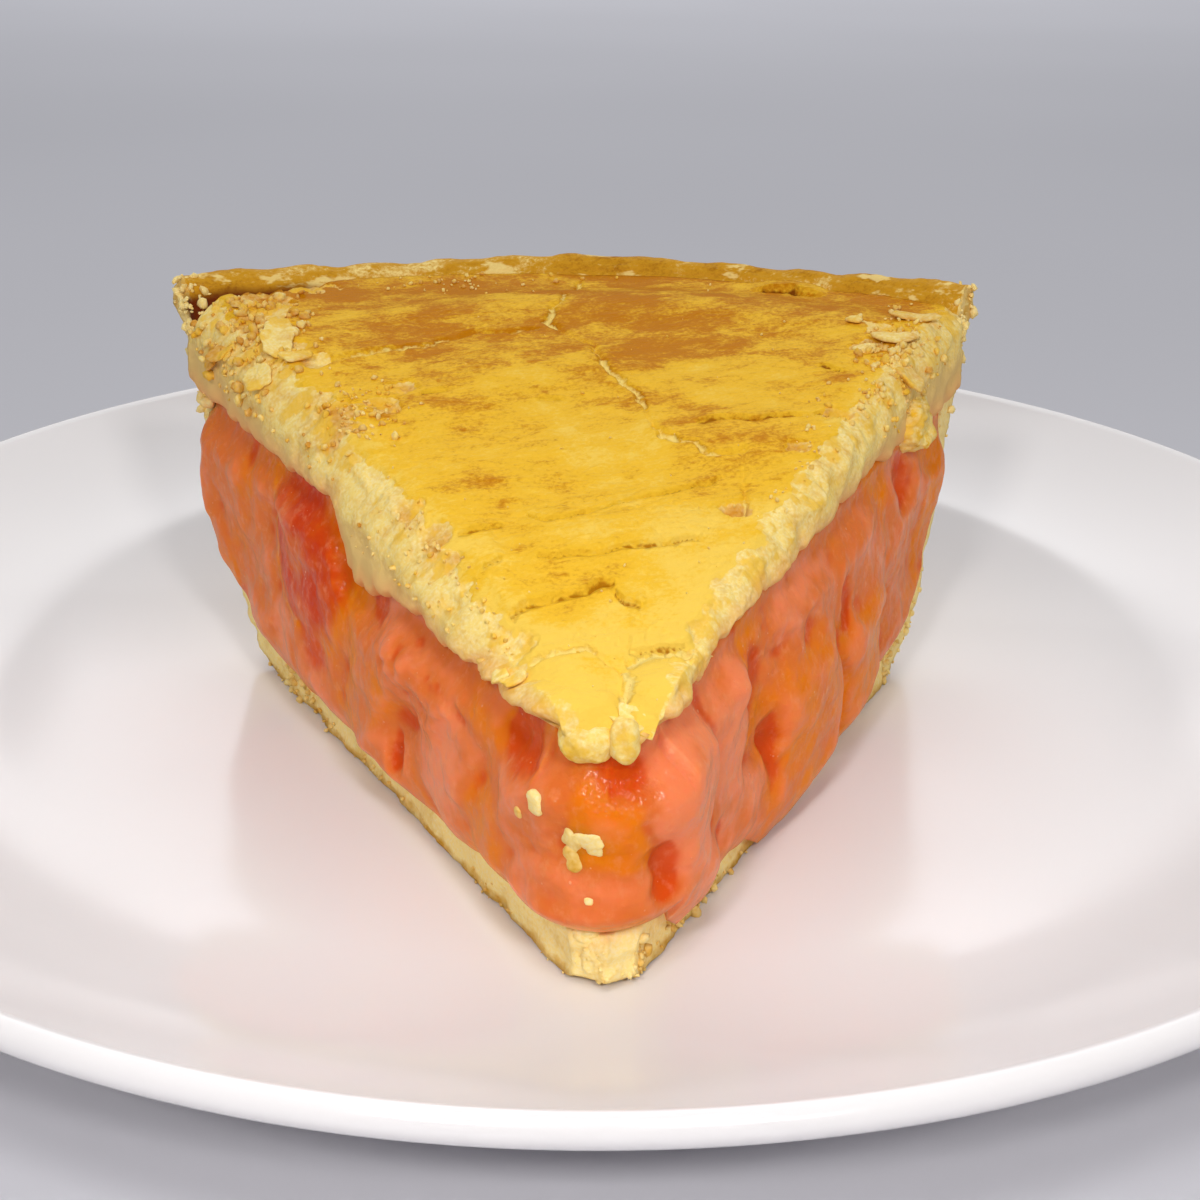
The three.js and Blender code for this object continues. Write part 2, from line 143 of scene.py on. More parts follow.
class PIE_PG_lid(bpy.types.PropertyGroup):
    """Sizes and bake of the top crust."""

    tip: length("Tip", 5, "How far the point of the top crust stands behind the apex")
    tip_flare: length("Tip flare", 1.7, "How far the point's corners spread past the cuts")
    tip_top: length("Skin at the tip", 31.2, "Height of the skin at the point")
    rise: share("Rise", 0.203, "The skin climbs this much for each millimetre towards the rim")
    dome: length("Dome", 1.5, "How far the middle stands above the cut edges")
    valley: length("Valley", 2.3, "The skin dips this much where it meets the rim")
    valley_from: length("Valley start", 94, "Distance from the apex at which the dip starts")
    valley_to: length("Valley end", 112, "Distance from the apex at which the dip is full")
    under_tip: length("Underside, tip", 28.6, "Height of the underside from the point to the step")
    under_back: length("Underside, back", 37.2, "Height of the underside behind the step")
    under_from: length("Step start", 46, "Distance at which the underside starts to climb")
    under_to: length("Step end", 76, "Distance at which the underside has climbed")
    back_gap: length("Back gap", 0.5, "Space between the top crust and the rim")
    split_gap: length("Split", 4.4, "How far the skin has come away from the rim at the left corner")
    ripple: length("Ripple", 0.55, "Slow unevenness of the skin")
    butter: colour("Butter", 244, 202, 82, "Palest skin, towards the point")
    golden: colour("Golden", 240, 188, 46, "Main colour of the skin")
    amber: colour("Amber", 196, 122, 0, "Browned patches, towards the rim")
    # Painted shadow: the colour inside the slits under the lifted sheets, towards the rim
    slit_shadow_dark: colour("Slit Shadow", 120, 52, 6, "Insides of the dark slits and the smallest burnt specks")
    crumb: colour("Crumb", 248, 218, 124, "Colour of the pastry where the skin is lost or cut")
    toasted: colour("Toasted", 208, 134, 20, "Browned crumbs in the pits")
    dough: colour("Dough", 230, 194, 122, "Softer pastry lower down in the cut, where juice has soaked in")


class PIE_PG_filling(bpy.types.PropertyGroup):
    """Sizes and colours of the filling."""

    tip: length("Tip", 10, "Distance along each cut at which the rounded front of the filling starts")
    salmon: colour("Salmon", 224, 116, 50, "Main colour of the cooked pear")
    pink: colour("Pink", 243, 136, 88, "Palest, pinkest chunks")
    amber: colour("Amber", 232, 124, 0, "Orange chunks and gel")
    coral: colour("Coral", 206, 60, 12, "Deep red chunk")
    # The juice's deep colour, also painted as shade into the hollows and creases between the chunks
    ruby: colour("Ruby", 216, 72, 0, "Hollows between the chunks")


class PIE_PG_stage(bpy.types.PropertyGroup):
    """Floor and light."""

    floor: colour("Floor", 205, 204, 210, "Colour of the plain floor")
    world: share("World light", 0.24, "Strength of the even light from all sides")


GROUPS = {
    "plate": PIE_PG_plate,
    "slice": PIE_PG_slice,
    "case": PIE_PG_case,
    "lid": PIE_PG_lid,
    "filling": PIE_PG_filling,
    "stage": PIE_PG_stage,
}


def settings():
    """Every group's values by name, with lengths turned from metres into millimetres."""
    pie = SimpleNamespace()
    for group_name in GROUPS:
        group = getattr(bpy.context.scene, "pie_" + group_name)
        values = SimpleNamespace()
        for key, kind in group.bl_rna.properties.items():
            if key in ("rna_type", "name"):
                continue
            value = getattr(group, key)
            if kind.subtype == "COLOR":
                value = (*value, 1.0)
            elif kind.type == "FLOAT" and kind.unit == "LENGTH":
                value = value / MM
            setattr(values, key, value)
        setattr(pie, group_name, values)
    return pie


# Middle line of the crust's side, as distance from the apex and height: floor, bend, side and flared rim.
CASE_SIDE = np.array([(90, 2.6), (98, 5.2), (104, 13), (109.3, 27), (112.6, 39), (116.4, 47.6), (121, 54)])
FLOOR_SHARE = 3 / 13  # share of the crust's profile that is floor
ROLLED = math.radians(16)  # direction in which the dough was rolled, from +X

# Pale cracks in the skin, each a line of distance from the apex and side, from -1 at the left cut to 1.
CRACKS = {
    "main": [
        (112, -0.01), (97, -0.08), (91, -0.12), (86, -0.04), (84, 0), (78, 0.05), (73.5, 0.12), (69, 0.18),
    ],
    "main_end": [(69, 0.18), (61, 0.27), (58, 0.37), (57, 0.46), (57, 0.56), (58, 0.65)],
    "branch": [(58, 0.65), (54, 0.67), (50, 0.72), (44, 0.74)],
    "crease": [(84, -0.83), (85.5, -0.6), (88, -0.37), (90, -0.15)],
    "tip": [(16.5, -0.8), (16, -0.5), (16, -0.2), (15, 0.06), (11, 0.34), (7, 0.36)],
    "tip_right": [(14, 0.4), (15.4, 0.54), (17.5, 0.8), (19, 1)],
}

# Edges where a sheet of skin has lifted, each a line of side and distance, with the height of the step in
# millimetres. The sheet behind the line stands above the one in front of it.
LEDGES = {
    "back": ([(0.46, 111.5), (0.55, 112.8), (0.64, 112.5)], 1.1),
    "right_back": ([(0.74, 83.4), (0.85, 82.5)], 0.4),
    "right": ([(0.4, 63), (0.53, 65), (0.65, 66.7), (0.79, 69.7), (0.9, 73)], 0.4),
    "left_mid": ([(-0.64, 70.7), (-0.5, 71)], 0.35),
    "middle": ([(-0.22, 67.6), (-0.1, 68.4)], 0.3),
    "hook": ([(-0.43, 41.6), (-0.32, 38.9), (-0.05, 40.8), (0.22, 44.6), (0.42, 47.4), (0.6, 51.4)], 0.3),
    "left": ([(-0.85, 38.6), (-0.7, 39.1), (-0.54, 40)], 0.35),
    "front_left": ([(-0.84, 31.7), (-0.64, 32.7)], 0.35),
    "front": ([(-0.45, 32.4), (-0.17, 32.7), (0.06, 33.1), (0.33, 34.6), (0.64, 38.2)], 0.4),
    "flake": ([(-0.85, 24), (-0.73, 24.5), (-0.49, 25.2), (-0.19, 26.1), (0.12, 27.8)], 0.6),
    "flake_end": ([(0.08, 27), (0.19, 25.2), (0.36, 24.2)], 0.5),
    "tip_sheet": ([(0.28, 16.2), (0.54, 17.7), (0.9, 20.3)], 0.45),
}

# Crumbly places where the skin is lost: distance, side, radius, and how browned they are.
PITS = [
    (70, -0.9, 3.8, 0.8),
    (69.5, -0.76, 3.2, 0.9),
    (73.5, -0.67, 2.6, 0.7),
    (66.5, -0.97, 3, 0.7),
    (75, -0.97, 3.4, 0.4),
    (47, -0.95, 1.9, 0.6),
    (40.5, -0.94, 2.4, 0.65),
    (36, -0.93, 1.6, 0.5),
    (45.6, 0.75, 2.2, 0.8),
    (61.6, 0.86, 1.8, 0.9),
    (92.6, 0.87, 3.2, 0.8),
    (71.8, 0.9, 2.2, 0.9),
    (99, 0.88, 4, 0.4),
    (84.2, -0.88, 2.6, 0.3),
    (90, -0.97, 5, 0.5),
    (100, -0.93, 5, 0.8),
    (108, -0.86, 6, 1),
    (112, -0.72, 4, 0.9),
    (20, -0.9, 2, 0.2),
]

# Lumps of baked dough on the top crust: distance, side, height and three half sizes, and of the loose lumps
# also how rough they are.
LEFT_FLAKE = (11, -0.55, 31, (5.2, 5, 2.9))
RIGHT_FLAKE = (14, 0.75, 31.4, (4.4, 5.2, 2.9))
DOUGH_LUMPS = [
    (5.3, 0.6, 30.0, (1.6, 1.6, 2.3), 0.14),
    (6.8, -0.55, 29.4, (2.9, 2.8, 2.1), 0.12),
    (92, 0.97, 40, (5, 4.6, 4), 0.3),
]

# Where crumbs of the top crust gather: distance, side, spread along, spread across, how many, the smallest
# and largest radius, and how browned they are at most.
LID_CRUMBS = [
    (104, -0.92, 9, 0.1, 190, 0.3, 1.1, 1.0),
    (94, -0.96, 7, 0.07, 80, 0.25, 0.9, 0.5),
    (71, -0.85, 7, 0.12, 120, 0.2, 0.65, 0.9),
    (38, -0.97, 14, 0.05, 70, 0.2, 0.55, 0.6),
    (96, 0.92, 9, 0.07, 120, 0.25, 0.9, 0.7),
    (84, 0.97, 8, 0.04, 50, 0.3, 0.9, 0.4),
    (64, 0.9, 12, 0.08, 40, 0.2, 0.5, 0.6),
    (110, -0.4, 4, 0.25, 50, 0.2, 0.6, 0.8),
    (60, 0.3, 50, 0.8, 60, 0.12, 0.3, 0.4),
]

# Thin flakes on the top crust: distance, side, share of the way up the cut, half length, half width,
# thickness, bend, turn in degrees and how browned it is.
LID_FLAKES = [
    (95, -0.93, 1, 2.2, 4.6, 0.4, 0.5, 10, 0.0),
    (89, -0.97, 0.9, 2.0, 2.6, 0.4, 0.4, 30, 0.0),
    (88.4, -0.92, 1, 2.4, 1.2, 0.4, 0.3, 20, 0.0),
    (95.5, -0.88, 1, 1.0, 0.8, 0.6, 0.0, 0, 0.0),
    (100, -0.97, 0.8, 2.2, 1.6, 0.4, 0.5, -20, 0.7),
    (104, -0.88, 1, 2.6, 1.5, 0.4, 0.5, 15, 0.5),
    (103, -0.97, 0.7, 2.2, 1.8, 0.4, 0.4, 60, 0.8),
    (6.4, 0.5, 1, 1.5, 1.8, 0.35, 0.8, 60, 0.0),
    (14.5, -1, 0.78, 1.3, 1.0, 0.35, 0.3, 20, 0.0),
    (16.5, -1, 0.6, 0.9, 1.0, 0.35, 0.2, 70, 0.0),
    (95, 0.93, 1, 3.0, 1.4, 0.4, 0.3, -10, 0.3),
    (104, 0.93, 1, 3.4, 1.3, 0.4, 0.4, -5, 0.4),
    (91, 0.86, 1, 1.6, 1.1, 0.4, 0.2, 10, 0.1),
    (97.5, 0.78, 1, 1.2, 0.8, 0.35, 0.1, -20, 0.1),
    (89, 0.97, 0.9, 1.8, 2.4, 0.5, 0.4, 60, 0.5),
]

# Broken bits at the point of the bottom crust, as the lumps above.
POINT_LUMPS = [
    (6.6, -0.6, 6.4, (1.7, 1.5, 1.3), 0.35),
    (5.6, -0.3, 3.4, (1.5, 1.3, 2.0), 0.35),
    (9.5, 0.55, 6.3, (2.0, 1.8, 1.4), 0.35),
]

# Where crumbs of the bottom crust cling: distance, side, height, spread in distance and height, how many, the
# smallest and largest radius, and whether they are brown.
CASE_CRUMBS = [
    (104, 1, 34, 3, 10, 60, 0.2, 0.8, 0),
    (100, 1, 12, 4, 9, 60, 0.2, 0.8, 0.3),
    (92, 1, 4, 5, 3, 40, 0.2, 1.0, 0.8),
    (112, -1, 38, 3, 5, 30, 0.4, 1.5, 0),
    (116, -1, 50, 4, 4, 50, 0.3, 1.2, 0.3),
    (116, 1, 48, 4, 6, 60, 0.3, 1.1, 0.1),
    (45, -1, 0.6, 34, 1.2, 90, 0.15, 0.5, 1),
    (84, -1, 2, 4, 2, 20, 0.4, 1.2, 0.8),
    (16, 1, 2.5, 9, 2, 40, 0.3, 0.9, 0.9),
    (45, 1, 1, 30, 1.5, 40, 0.2, 0.6, 0.8),
    (7, -0.4, 4, 3, 3, 26, 0.2, 0.8, 0),
    (7, 0.3, 1, 4, 2, 20, 0.2, 0.6, 0.3),
]

# Bits of dough stuck in the filling: travel, height, half length, half width, thickness, turn in degrees and
# how browned they are.
DOUGH_BITS = [
    (-5.3, 22.1, 1.1, 1.5, 0.6, 0, 0.1),
    (-7.4, 20.0, 0.5, 0.7, 0.4, 0, 1.0),
    (-1.3, 19.4, 1.9, 1.1, 0.5, 20, 0.2),
    (-2.9, 18.7, 1.4, 1.5, 0.5, -30, 0.6),
    (-1.0, 18.2, 1.0, 0.9, 0.5, 10, 0.3),
    (-2.6, 16.7, 1.1, 1.5, 0.45, 30, 1.0),
    (-1.2, 12.9, 0.5, 0.4, 0.2, 0, 0.2),
]

# Height of the top crust's lower edge on each cut, by distance along the cut.
LOW_EDGE_LEFT = [
    (5, 30.4), (20, 29.8), (32, 29.6), (43, 30.2), (51, 28), (57, 28.6), (60, 35), (64, 36.6), (112, 38.4),
]
LOW_EDGE_RIGHT = [
    (5, 30.6), (18, 30.6), (26, 32.4), (37, 34), (46, 34.6), (64, 36.6), (76, 37.4), (112, 38.2),
]

# How far the filling hangs below the crust's upper face on the right cut, by distance from the apex.
SPILL = [
    (8, 0), (14, 3.4), (26, 3.2), (33, 1.2), (38, 1.6), (44, 4.9), (58, 4.7), (66, 3.2), (86, 2.4), (96, 0),
]

# Wet, lumpy places of the filling: travel, height, half width, half height and strength.
WET_PLACES = [(-35, 24, 13, 7, 1.0), (40, 30, 16, 6, 0.6), (0, 21, 10, 9, 0.4)]

# Pear chunks on each cut, with the gel round them: distance along the cut, height, half length, half
# height, how far the chunk stands out, its lean in degrees, how its face slopes along and up, and its tone:
# 0 is pink, 1 amber, and 2 is deep red.
LEFT_CHUNKS = [
    (103, 24, 8, 15, 4.0, 6, -0.4, 0.3, 0.6),
    (91, 17, 7.5, 13, 3.5, -10, 0.5, -0.5, 0.55),
    (71, 27, 11.5, 12.5, 3.2, -14, -0.5, -0.4, 1.75),
    (76, 11, 13, 6, 3.6, 4, 0.2, 0.3, 0.3),
    (55, 15, 11, 12.5, 3.4, 12, 0.6, 0.3, 0.75),
    (39, 25, 11, 6, 3.7, 6, -0.3, 0.6, 0.35),
    (45, 8, 8, 5.5, 3.9, -8, -0.3, 0.4, 0.55),
    (32, 15, 8, 8.5, 3.9, 9, 0.8, 0.4, 0.15),
    (22, 11, 7, 8, 3.4, -6, 0.3, 0.6, 0.75),
    (12.5, 19, 5.5, 6.5, 3.7, 8, -0.5, 0.6, 0.3),
    (9, 9, 7, 4.6, 3.7, -6, 0.4, 0.8, 0.2),
    (4.4, 17, 3.0, 6.5, 3.1, 10, 0.3, 0.7, 0.95),
]
RIGHT_CHUNKS = [
    (7, 24, 5, 7.5, 2.5, -4, 0.5, 0.3, 0.85),
    (14, 21, 4.6, 10, 4.6, -9, -1.0, 0.4, 0.05),
    (4.8, 8, 4.2, 4.4, 3.3, 6, 0.3, 0.6, 0.8),
    (14, 7.5, 6.5, 5.2, 3.9, 8, 0.3, 0.7, 0.4),
    (25, 20, 4.6, 11, 3.0, -7, 0.8, 0.2, 0.1),
    (30, 8, 5.6, 6.5, 2.6, 4, -0.5, 0.5, 0.25),
    (48, 11, 10, 12.5, 5.0, -12, 0.6, 0.9, 0.8),
    (45, 27, 11, 7, 2.6, 12, 0.3, 0.6, 0.2),
    (66, 26, 9.5, 10, 2.9, -10, 0.4, -0.3, 0.4),
    (70, 12, 8.5, 10.5, 4.2, -6, -0.6, 0.5, 1.0),
    (86, 24, 7, 11, 2.6, 8, -0.4, 0.3, 0.45),
    (88, 9, 8, 6.5, 2.2, 0, 0.3, 0.4, 0.6),
    (99, 24, 5, 11, 1.6, 4, 0.3, 0.2, 1.3),
]

# Hollows between the chunks, filled with deep orange juice and darkened by painted shade: distance from the
# front's middle, positive on the right, height, half width, half height and depth.
HOLLOWS = [
    (-11, 27, 5.5, 5.5, 2.6),
    (1.5, 27, 3.5, 4.5, 1.1),
    (4.5, 14, 1.5, 5, 0.9),
    (-40.5, 11, 1.8, 3.4, 1.6),
    (-66, 15, 5, 5, 0.7),
    (28, 26, 4, 5, 1.2),
    (34, 14, 2.4, 7, 1.6),
    (57, 24, 2.5, 6, 1.0),
    (82, 33, 5, 5, 1.8),
    (-48, 27.5, 3.5, 3, 1.0),
    (17, 10.5, 3, 2.5, 0.8),
]
CHUNK_SQUARENESS = 3.2

# How finely the pieces are cut: cells of the crust's block, corners of the lid's ring and its rows, corners
# of the filling's outline and its levels, and corners round the plate.
CASE_CELLS = (132, 290, 8)
LID_TOP, LID_DOWN, LID_UNDER, LID_ROWS = 230, 28, 34, 292
FILLING_ALONG, FILLING_FRONT, FILLING_BEHIND, FILLING_LEVELS = 306, 58, 24, 104
PLATE_AROUND = 224

# Fixed tones that the materials blend in, in linear light.
BUTTERFAT = (0.95, 0.86, 0.6, 1)
PALE_FLESH = (0.92, 0.4, 0.2, 1)
FOAM = (0.95, 0.5, 0.26, 1)


# ---------- Number fields ----------


def mix(low, high, amount):
    return low + (high - low) * amount


def smooth(x, low, high):
    """A soft step: 0 below low, 1 above high, and 3t2 - 2t3 between."""
    t = np.clip((x - low) / (high - low), 0, 1)
    return t * t * (3 - 2 * t)


def waves(x, y, z=0.0):
    """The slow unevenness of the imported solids: three sines in different directions, from about -1 to 1."""
    first = np.sin(1.7 * x + 0.6 * y + 0.3 * z + 1.3)
    second = np.sin(-0.9 * x + 2.1 * y - 0.8 * z + 4.1)
    third = np.sin(2.9 * x - 1.3 * y + 1.9 * z + 2.2)
    return (first + second + third) / 2.4


def chance(i, j, k, seed):
    """A fixed random number from 0 to 1 for each whole-number place, by mixing the bits of three indices."""
    bits = (i * 374761393 + j * 668265263 + k * 1274126177 + seed * 974634777) & 0xFFFFFFFF
    bits = ((bits ^ (bits >> 13)) * 1103515245) & 0xFFFFFFFF
    bits = ((bits ^ (bits >> 15)) * 668265263) & 0xFFFFFFFF
    return (bits ^ (bits >> 16)) / 0xFFFFFFFF


def noise(x, y, z=0.0, seed=0):
    """Smooth noise from -1 to 1: a random value at each whole-number place, blended by a soft step."""
    x, y, z = np.broadcast_arrays(x, y, z)
    whole = [np.floor(c).astype(np.int64) for c in (x, y, z)]
    part = [smooth(c - w, 0, 1) for c, w in zip((x, y, z), whole)]
    total = 0
    for corner in range(8):
        step = [corner & 1, corner >> 1 & 1, corner >> 2]
        weight = 1
        for s, p in zip(step, part):
            weight = weight * (p if s else 1 - p)
        total = total + weight * chance(*[w + s for w, s in zip(whole, step)], seed)
    return total * 2 - 1


def fractal(x, y, z=0.0, octaves=3, seed=0, keep=0.5):
    """Noise added up at doubling finenesses, each keep times as strong as the last, from about -1 to 1."""
    total, strength, whole = 0, 1.0, 0.0
    for octave in range(octaves):
        fine = 2.0**octave
        total = total + strength * noise(x * fine, y * fine, z * fine, seed + octave)
        whole += strength
        strength *= keep
    return total / whole


def cobbles(x, y, seed=0):
    """Rounded grains: each cell of a unit grid has one random spot, and a point's height falls from 1 at the
    nearest spot to 0 where two grains meet, by one less the ratio of its two smallest distances, squared."""
    x, y = np.broadcast_arrays(x, y)
    column, row = np.floor(x).astype(np.int64), np.floor(y).astype(np.int64)
    nearest = np.full(x.shape, 9.0)
    second = np.full(x.shape, 9.0)
    for dx in (-1, 0, 1):
        for dy in (-1, 0, 1):
            spot_x = column + dx + chance(column + dx, row + dy, 1, seed)
            spot_y = row + dy + chance(column + dx, row + dy, 2, seed)
            gap = np.hypot(x - spot_x, y - spot_y)
            second = np.minimum(second, np.maximum(nearest, gap))
            nearest = np.minimum(nearest, gap)
    return 1 - (nearest / np.maximum(second, 1e-6)) ** 2


def facets(x, y, seed=0):
    """Flat faces like torn fruit: each cell of a unit grid has one random spot with a plane of its own
    height and slope, and a point takes the mean of the planes round it, weighted by an exponential of its
    nearness."""
    column, row = np.floor(x).astype(np.int64), np.floor(y).astype(np.int64)
    total, weights = 0, 0
    for dx in (-1, 0, 1):
        for dy in (-1, 0, 1):
            i, j = column + dx, row + dy
            off_x = x - i - chance(i, j, 1, seed)
            off_y = y - j - chance(i, j, 2, seed)
            slope_x, slope_y = 2 * chance(i, j, 3, seed) - 1, 2 * chance(i, j, 4, seed) - 1
            plane = chance(i, j, 5, seed) - 0.5 + slope_x * off_x + slope_y * off_y
            weight = np.exp(-7 * np.hypot(off_x, off_y))
            total = total + weight * plane
            weights = weights + weight
    return total / weights


def line_distance(x, y, line):
    """Distance in the plane from each point to a broken line, the least of those to its straight
    stretches."""
    nearest = np.full(np.broadcast(x, y).shape, 1e3)
    for (ax, ay), (bx, by) in zip(line[:-1], line[1:]):
        run = (bx - ax) ** 2 + (by - ay) ** 2
        t = np.clip(((x - ax) * (bx - ax) + (y - ay) * (by - ay)) / run, 0, 1)
        off_x, off_y = x - ax - t * (bx - ax), y - ay - t * (by - ay)
        nearest = np.minimum(nearest, np.hypot(off_x, off_y))
    return nearest


def spline(points, t):
    """Uniform Catmull-Rom curve through the points, with t from 0 to 1 over all of them."""
    spot = np.clip(t, 0, 1) * (len(points) - 1)
    first = np.minimum(spot.astype(int), len(points) - 2)
    f = (spot - first)[..., None]
    before = points[np.maximum(first - 1, 0)]
    start, end = points[first], points[first + 1]
    after = points[np.minimum(first + 2, len(points) - 1)]
    v0, v1 = (end - before) / 2, (after - start) / 2
    cubic, square = 2 * start - 2 * end + v0 + v1, -3 * start + 3 * end - 2 * v0 - v1
    return cubic * f**3 + square * f**2 + v0 * f + start


# ---------- The slice's frame ----------


def slice_point(pie, reach, side, outwards=0.0):
    """Plan place of a distance from the apex and a side from -1 to 1. The step outwards points straight out
    of each cut and turns round the point between them."""
    angle = side * pie.slice.half
    turned = side * (math.pi / 2 - pie.slice.half)
    run = reach * (1 - pie.slice.skew * side)
    x = run * np.sin(angle) + outwards * np.sin(turned)
    y = run * np.cos(angle) - outwards * np.cos(turned)
    return x, y


def to_row(pie, x, y, z):
    """Points of the slice's frame in the frame of the part: turned on the plate and moved onto its well."""
    c, s = math.cos(pie.slice.turn), math.sin(pie.slice.turn)
    x, y, z = np.broadcast_arrays(x, y, z)
    east = pie.slice.apex_x + x * c - y * s
    north = pie.slice.apex_y + x * s + y * c
    return np.stack([east, north, z + pie.plate.well_top + GAP], -1)


def plan_line(pie, line):
    """A line of distances and sides as plan points."""
    reach, side = np.array(line, float).T
    return np.stack(slice_point(pie, reach, side), -1)


# ---------- Meshes ----------


def make_piece(name, points, faces, material, fields=None, rides=True):
    """A smooth mesh object at the origin, from corners in millimetres, arrays of faces and one value a corner
    for each named field. Faces that enclose a negative volume are turned round, so they point outwards."""
    points = points.reshape(-1, 3)
    faces = [np.asarray(part, np.int64) for part in faces if len(part)]
    volume = 0
    for part in faces:
        for k in range(1, part.shape[1] - 1):
            a, b, c = points[part[:, 0]], points[part[:, k]], points[part[:, k + 1]]
            volume += np.einsum("ij,ij->i", a, np.cross(b, c)).sum()
    if volume < 0:
        faces = [part[:, ::-1] for part in faces]
    mesh = bpy.data.meshes.new(name)
    mesh.vertices.add(len(points))
    mesh.vertices.foreach_set("co", (points * MM).astype(np.float32).ravel())
    corners = np.concatenate([part.ravel() for part in faces]).astype(np.int32)
    sizes = np.concatenate([np.full(len(part), part.shape[1]) for part in faces])
    mesh.loops.add(len(corners))
    mesh.loops.foreach_set("vertex_index", corners)
    mesh.polygons.add(len(sizes))
    mesh.polygons.foreach_set("loop_start", (np.cumsum(sizes) - sizes).astype(np.int32))
    mesh.polygons.foreach_set("use_smooth", np.ones(len(sizes), bool))
    mesh.update(calc_edges=True)
    for field, values in (fields or {}).items():
        held = mesh.attributes.new(field, "FLOAT", "POINT")
        held.data.foreach_set("value", np.asarray(values, np.float32).ravel())
    mesh.validate()
    mesh.materials.append(material)
    piece = bpy.data.objects.new(name, mesh)
    bpy.context.scene.collection.objects.link(piece)
    if rides:
        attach(piece, "root")
    return piece


def tube_faces(rows, ring):
    """Quads of a tube of closed rings, where each ring's corners join the next ring's."""
    row, i = np.arange(rows - 1)[:, None] * ring, np.arange(ring)[None, :]
    ahead = (i + 1) % ring
    return np.stack([row + i, row + ahead, row + ring + ahead, row + ring + i], -1).reshape(-1, 4)


def zip_faces(first, second):
    """Triangles between two chains of corners that run side by side: at each step the chain whose next corner
    comes sooner, as a share of its length, moves on."""
    steps = [len(first) - 1, len(second) - 1]
    when = np.concatenate([(np.arange(n) + 0.5) / n for n in steps])
    which = np.concatenate([np.full(n, k) for k, n in enumerate(steps)])
    which = which[np.argsort(when, kind="stable")]
    i = np.cumsum(which == 0) - (which == 0)
    j = np.cumsum(which == 1) - (which == 1)
    ahead = np.where(which == 0, first[np.minimum(i + 1, steps[0])], second[np.minimum(j + 1, steps[1])])
    return np.stack([first[i], second[j], ahead], -1)


def block(across, along, up):
    """The outer surface of a block of across x along x up cells: its quads, and the three shares of each
    corner. Corners on the block's edges are shared by its sides."""
    counts = (across, along, up)
    sides = []
    for axis in range(3):
        first, second = [k for k in range(3) if k != axis]
        for end in (0, counts[axis]):
            spot = [None, None, None]
            spot[first], spot[second] = np.meshgrid(
                np.arange(counts[first] + 1), np.arange(counts[second] + 1), indexing="ij"
            )
            spot[axis] = end
            key = (spot[0] * (along + 1) + spot[1]) * (up + 1) + spot[2]
            quads = np.stack([key[:-1, :-1], key[1:, :-1], key[1:, 1:], key[:-1, 1:]], -1).reshape(-1, 4)
            sides.append(quads[:, ::-1] if (end == 0) != (axis == 1) else quads)
    keys, faces = np.unique(np.concatenate(sides), return_inverse=True)
    i, rest = np.divmod(keys, (along + 1) * (up + 1))
    j, k = np.divmod(rest, up + 1)
    return faces.reshape(-1, 4), i / across, j / along, k / up


def ball(rings, around):
    """A unit ball of rings from pole to pole: its corners, quads and the triangles at its two poles."""
    polar = (np.arange(1, rings) / rings * math.pi)[:, None]
    angle = (np.arange(around) / around * 2 * math.pi)[None, :]
    x, y, z = np.sin(polar) * np.cos(angle), np.sin(polar) * np.sin(angle), np.cos(polar)
    body = np.stack(np.broadcast_arrays(x, y, z), -1)
    points = np.concatenate([body.reshape(-1, 3), [(0, 0, 1), (0, 0, -1)]])
    top = np.arange(around)
    low = (rings - 2) * around + top
    north, south = len(points) - 2, len(points) - 1
    ahead = (top + 1) % around
    caps = [
        np.stack([np.full(around, north), ahead, top], -1),
        np.stack([np.full(around, south), low, low[0] + ahead], -1),
    ]
    return points, [tube_faces(rings - 1, around), *caps]


# ---------- Shared shapes ----------


def floor_thickness(pie, reach):
    """Thickness of the crust's floor: it swells over its first third towards the point."""
    run = (reach - pie.case.tip) / (pie.case.floor_end - pie.case.tip)
    return pie.case.base + pie.case.tip_swell * np.clip(1 - 3 * run, 0, 1)


def case_station(pie, v):
    """Middle line of the crust from its point along the floor and up the side: distance from the apex,
    height, lean, thickness, and the share of the side that has been climbed."""
    floor = np.clip(v / FLOOR_SHARE, 0, 1)
    climbed = np.clip((v - FLOOR_SHARE) / (1 - FLOOR_SHARE), 0, 1)
    on_side = v > FLOOR_SHARE
    spot = spline(CASE_SIDE, climbed)
    step = 1e-4
    ahead = spline(CASE_SIDE, climbed + step) - spline(CASE_SIDE, climbed - step)
    flat_reach = mix(pie.case.tip, pie.case.floor_end, floor)
    flat_thickness = floor_thickness(pie, flat_reach)
    wall = mix(pie.case.base, pie.case.wall, smooth(climbed, 0, 0.3))
    full = mix(wall, pie.case.rim_thickness, smooth(climbed, 0.7, 0.95))
    rounding = np.sqrt(np.maximum(0.03, 1 - (np.clip(climbed - 0.92, 0, 0.08) / 0.08) ** 2))
    reach = np.where(on_side, spot[..., 0], flat_reach)
    z = np.where(on_side, spot[..., 1], flat_thickness / 2)
    lean = np.where(on_side, np.arctan2(ahead[..., 1], ahead[..., 0]), 0)
    thickness = np.where(on_side, full * rounding, flat_thickness)
    return reach, z, lean, thickness, climbed


def case_face(pie, v, w):
    """The crust from its outer face, w = 0, to its inner face, w = 1: the middle line moved square to it."""
    reach, z, lean, thickness, climbed = case_station(pie, v)
    shift = (w - 0.5) * thickness
    return reach - shift * np.sin(lean), z + shift * np.cos(lean), climbed


def inner_line(pie):
    """The side's inner face as two arrays, its distances from the apex and its heights."""
    reach, z, _ = case_face(pie, np.linspace(FLOOR_SHARE, 0.985, 60), 1.0)
    return reach, z


def inner_radius(pie, z):
    reach, height = inner_line(pie)
    return np.interp(z, height, reach)


def case_top(pie, reach):
    """Height of the crust's upper face along the floor and up the bend."""
    line, height = inner_line(pie)
    return np.where(reach > pie.case.floor_end, np.interp(reach, line, height), floor_thickness(pie, reach))


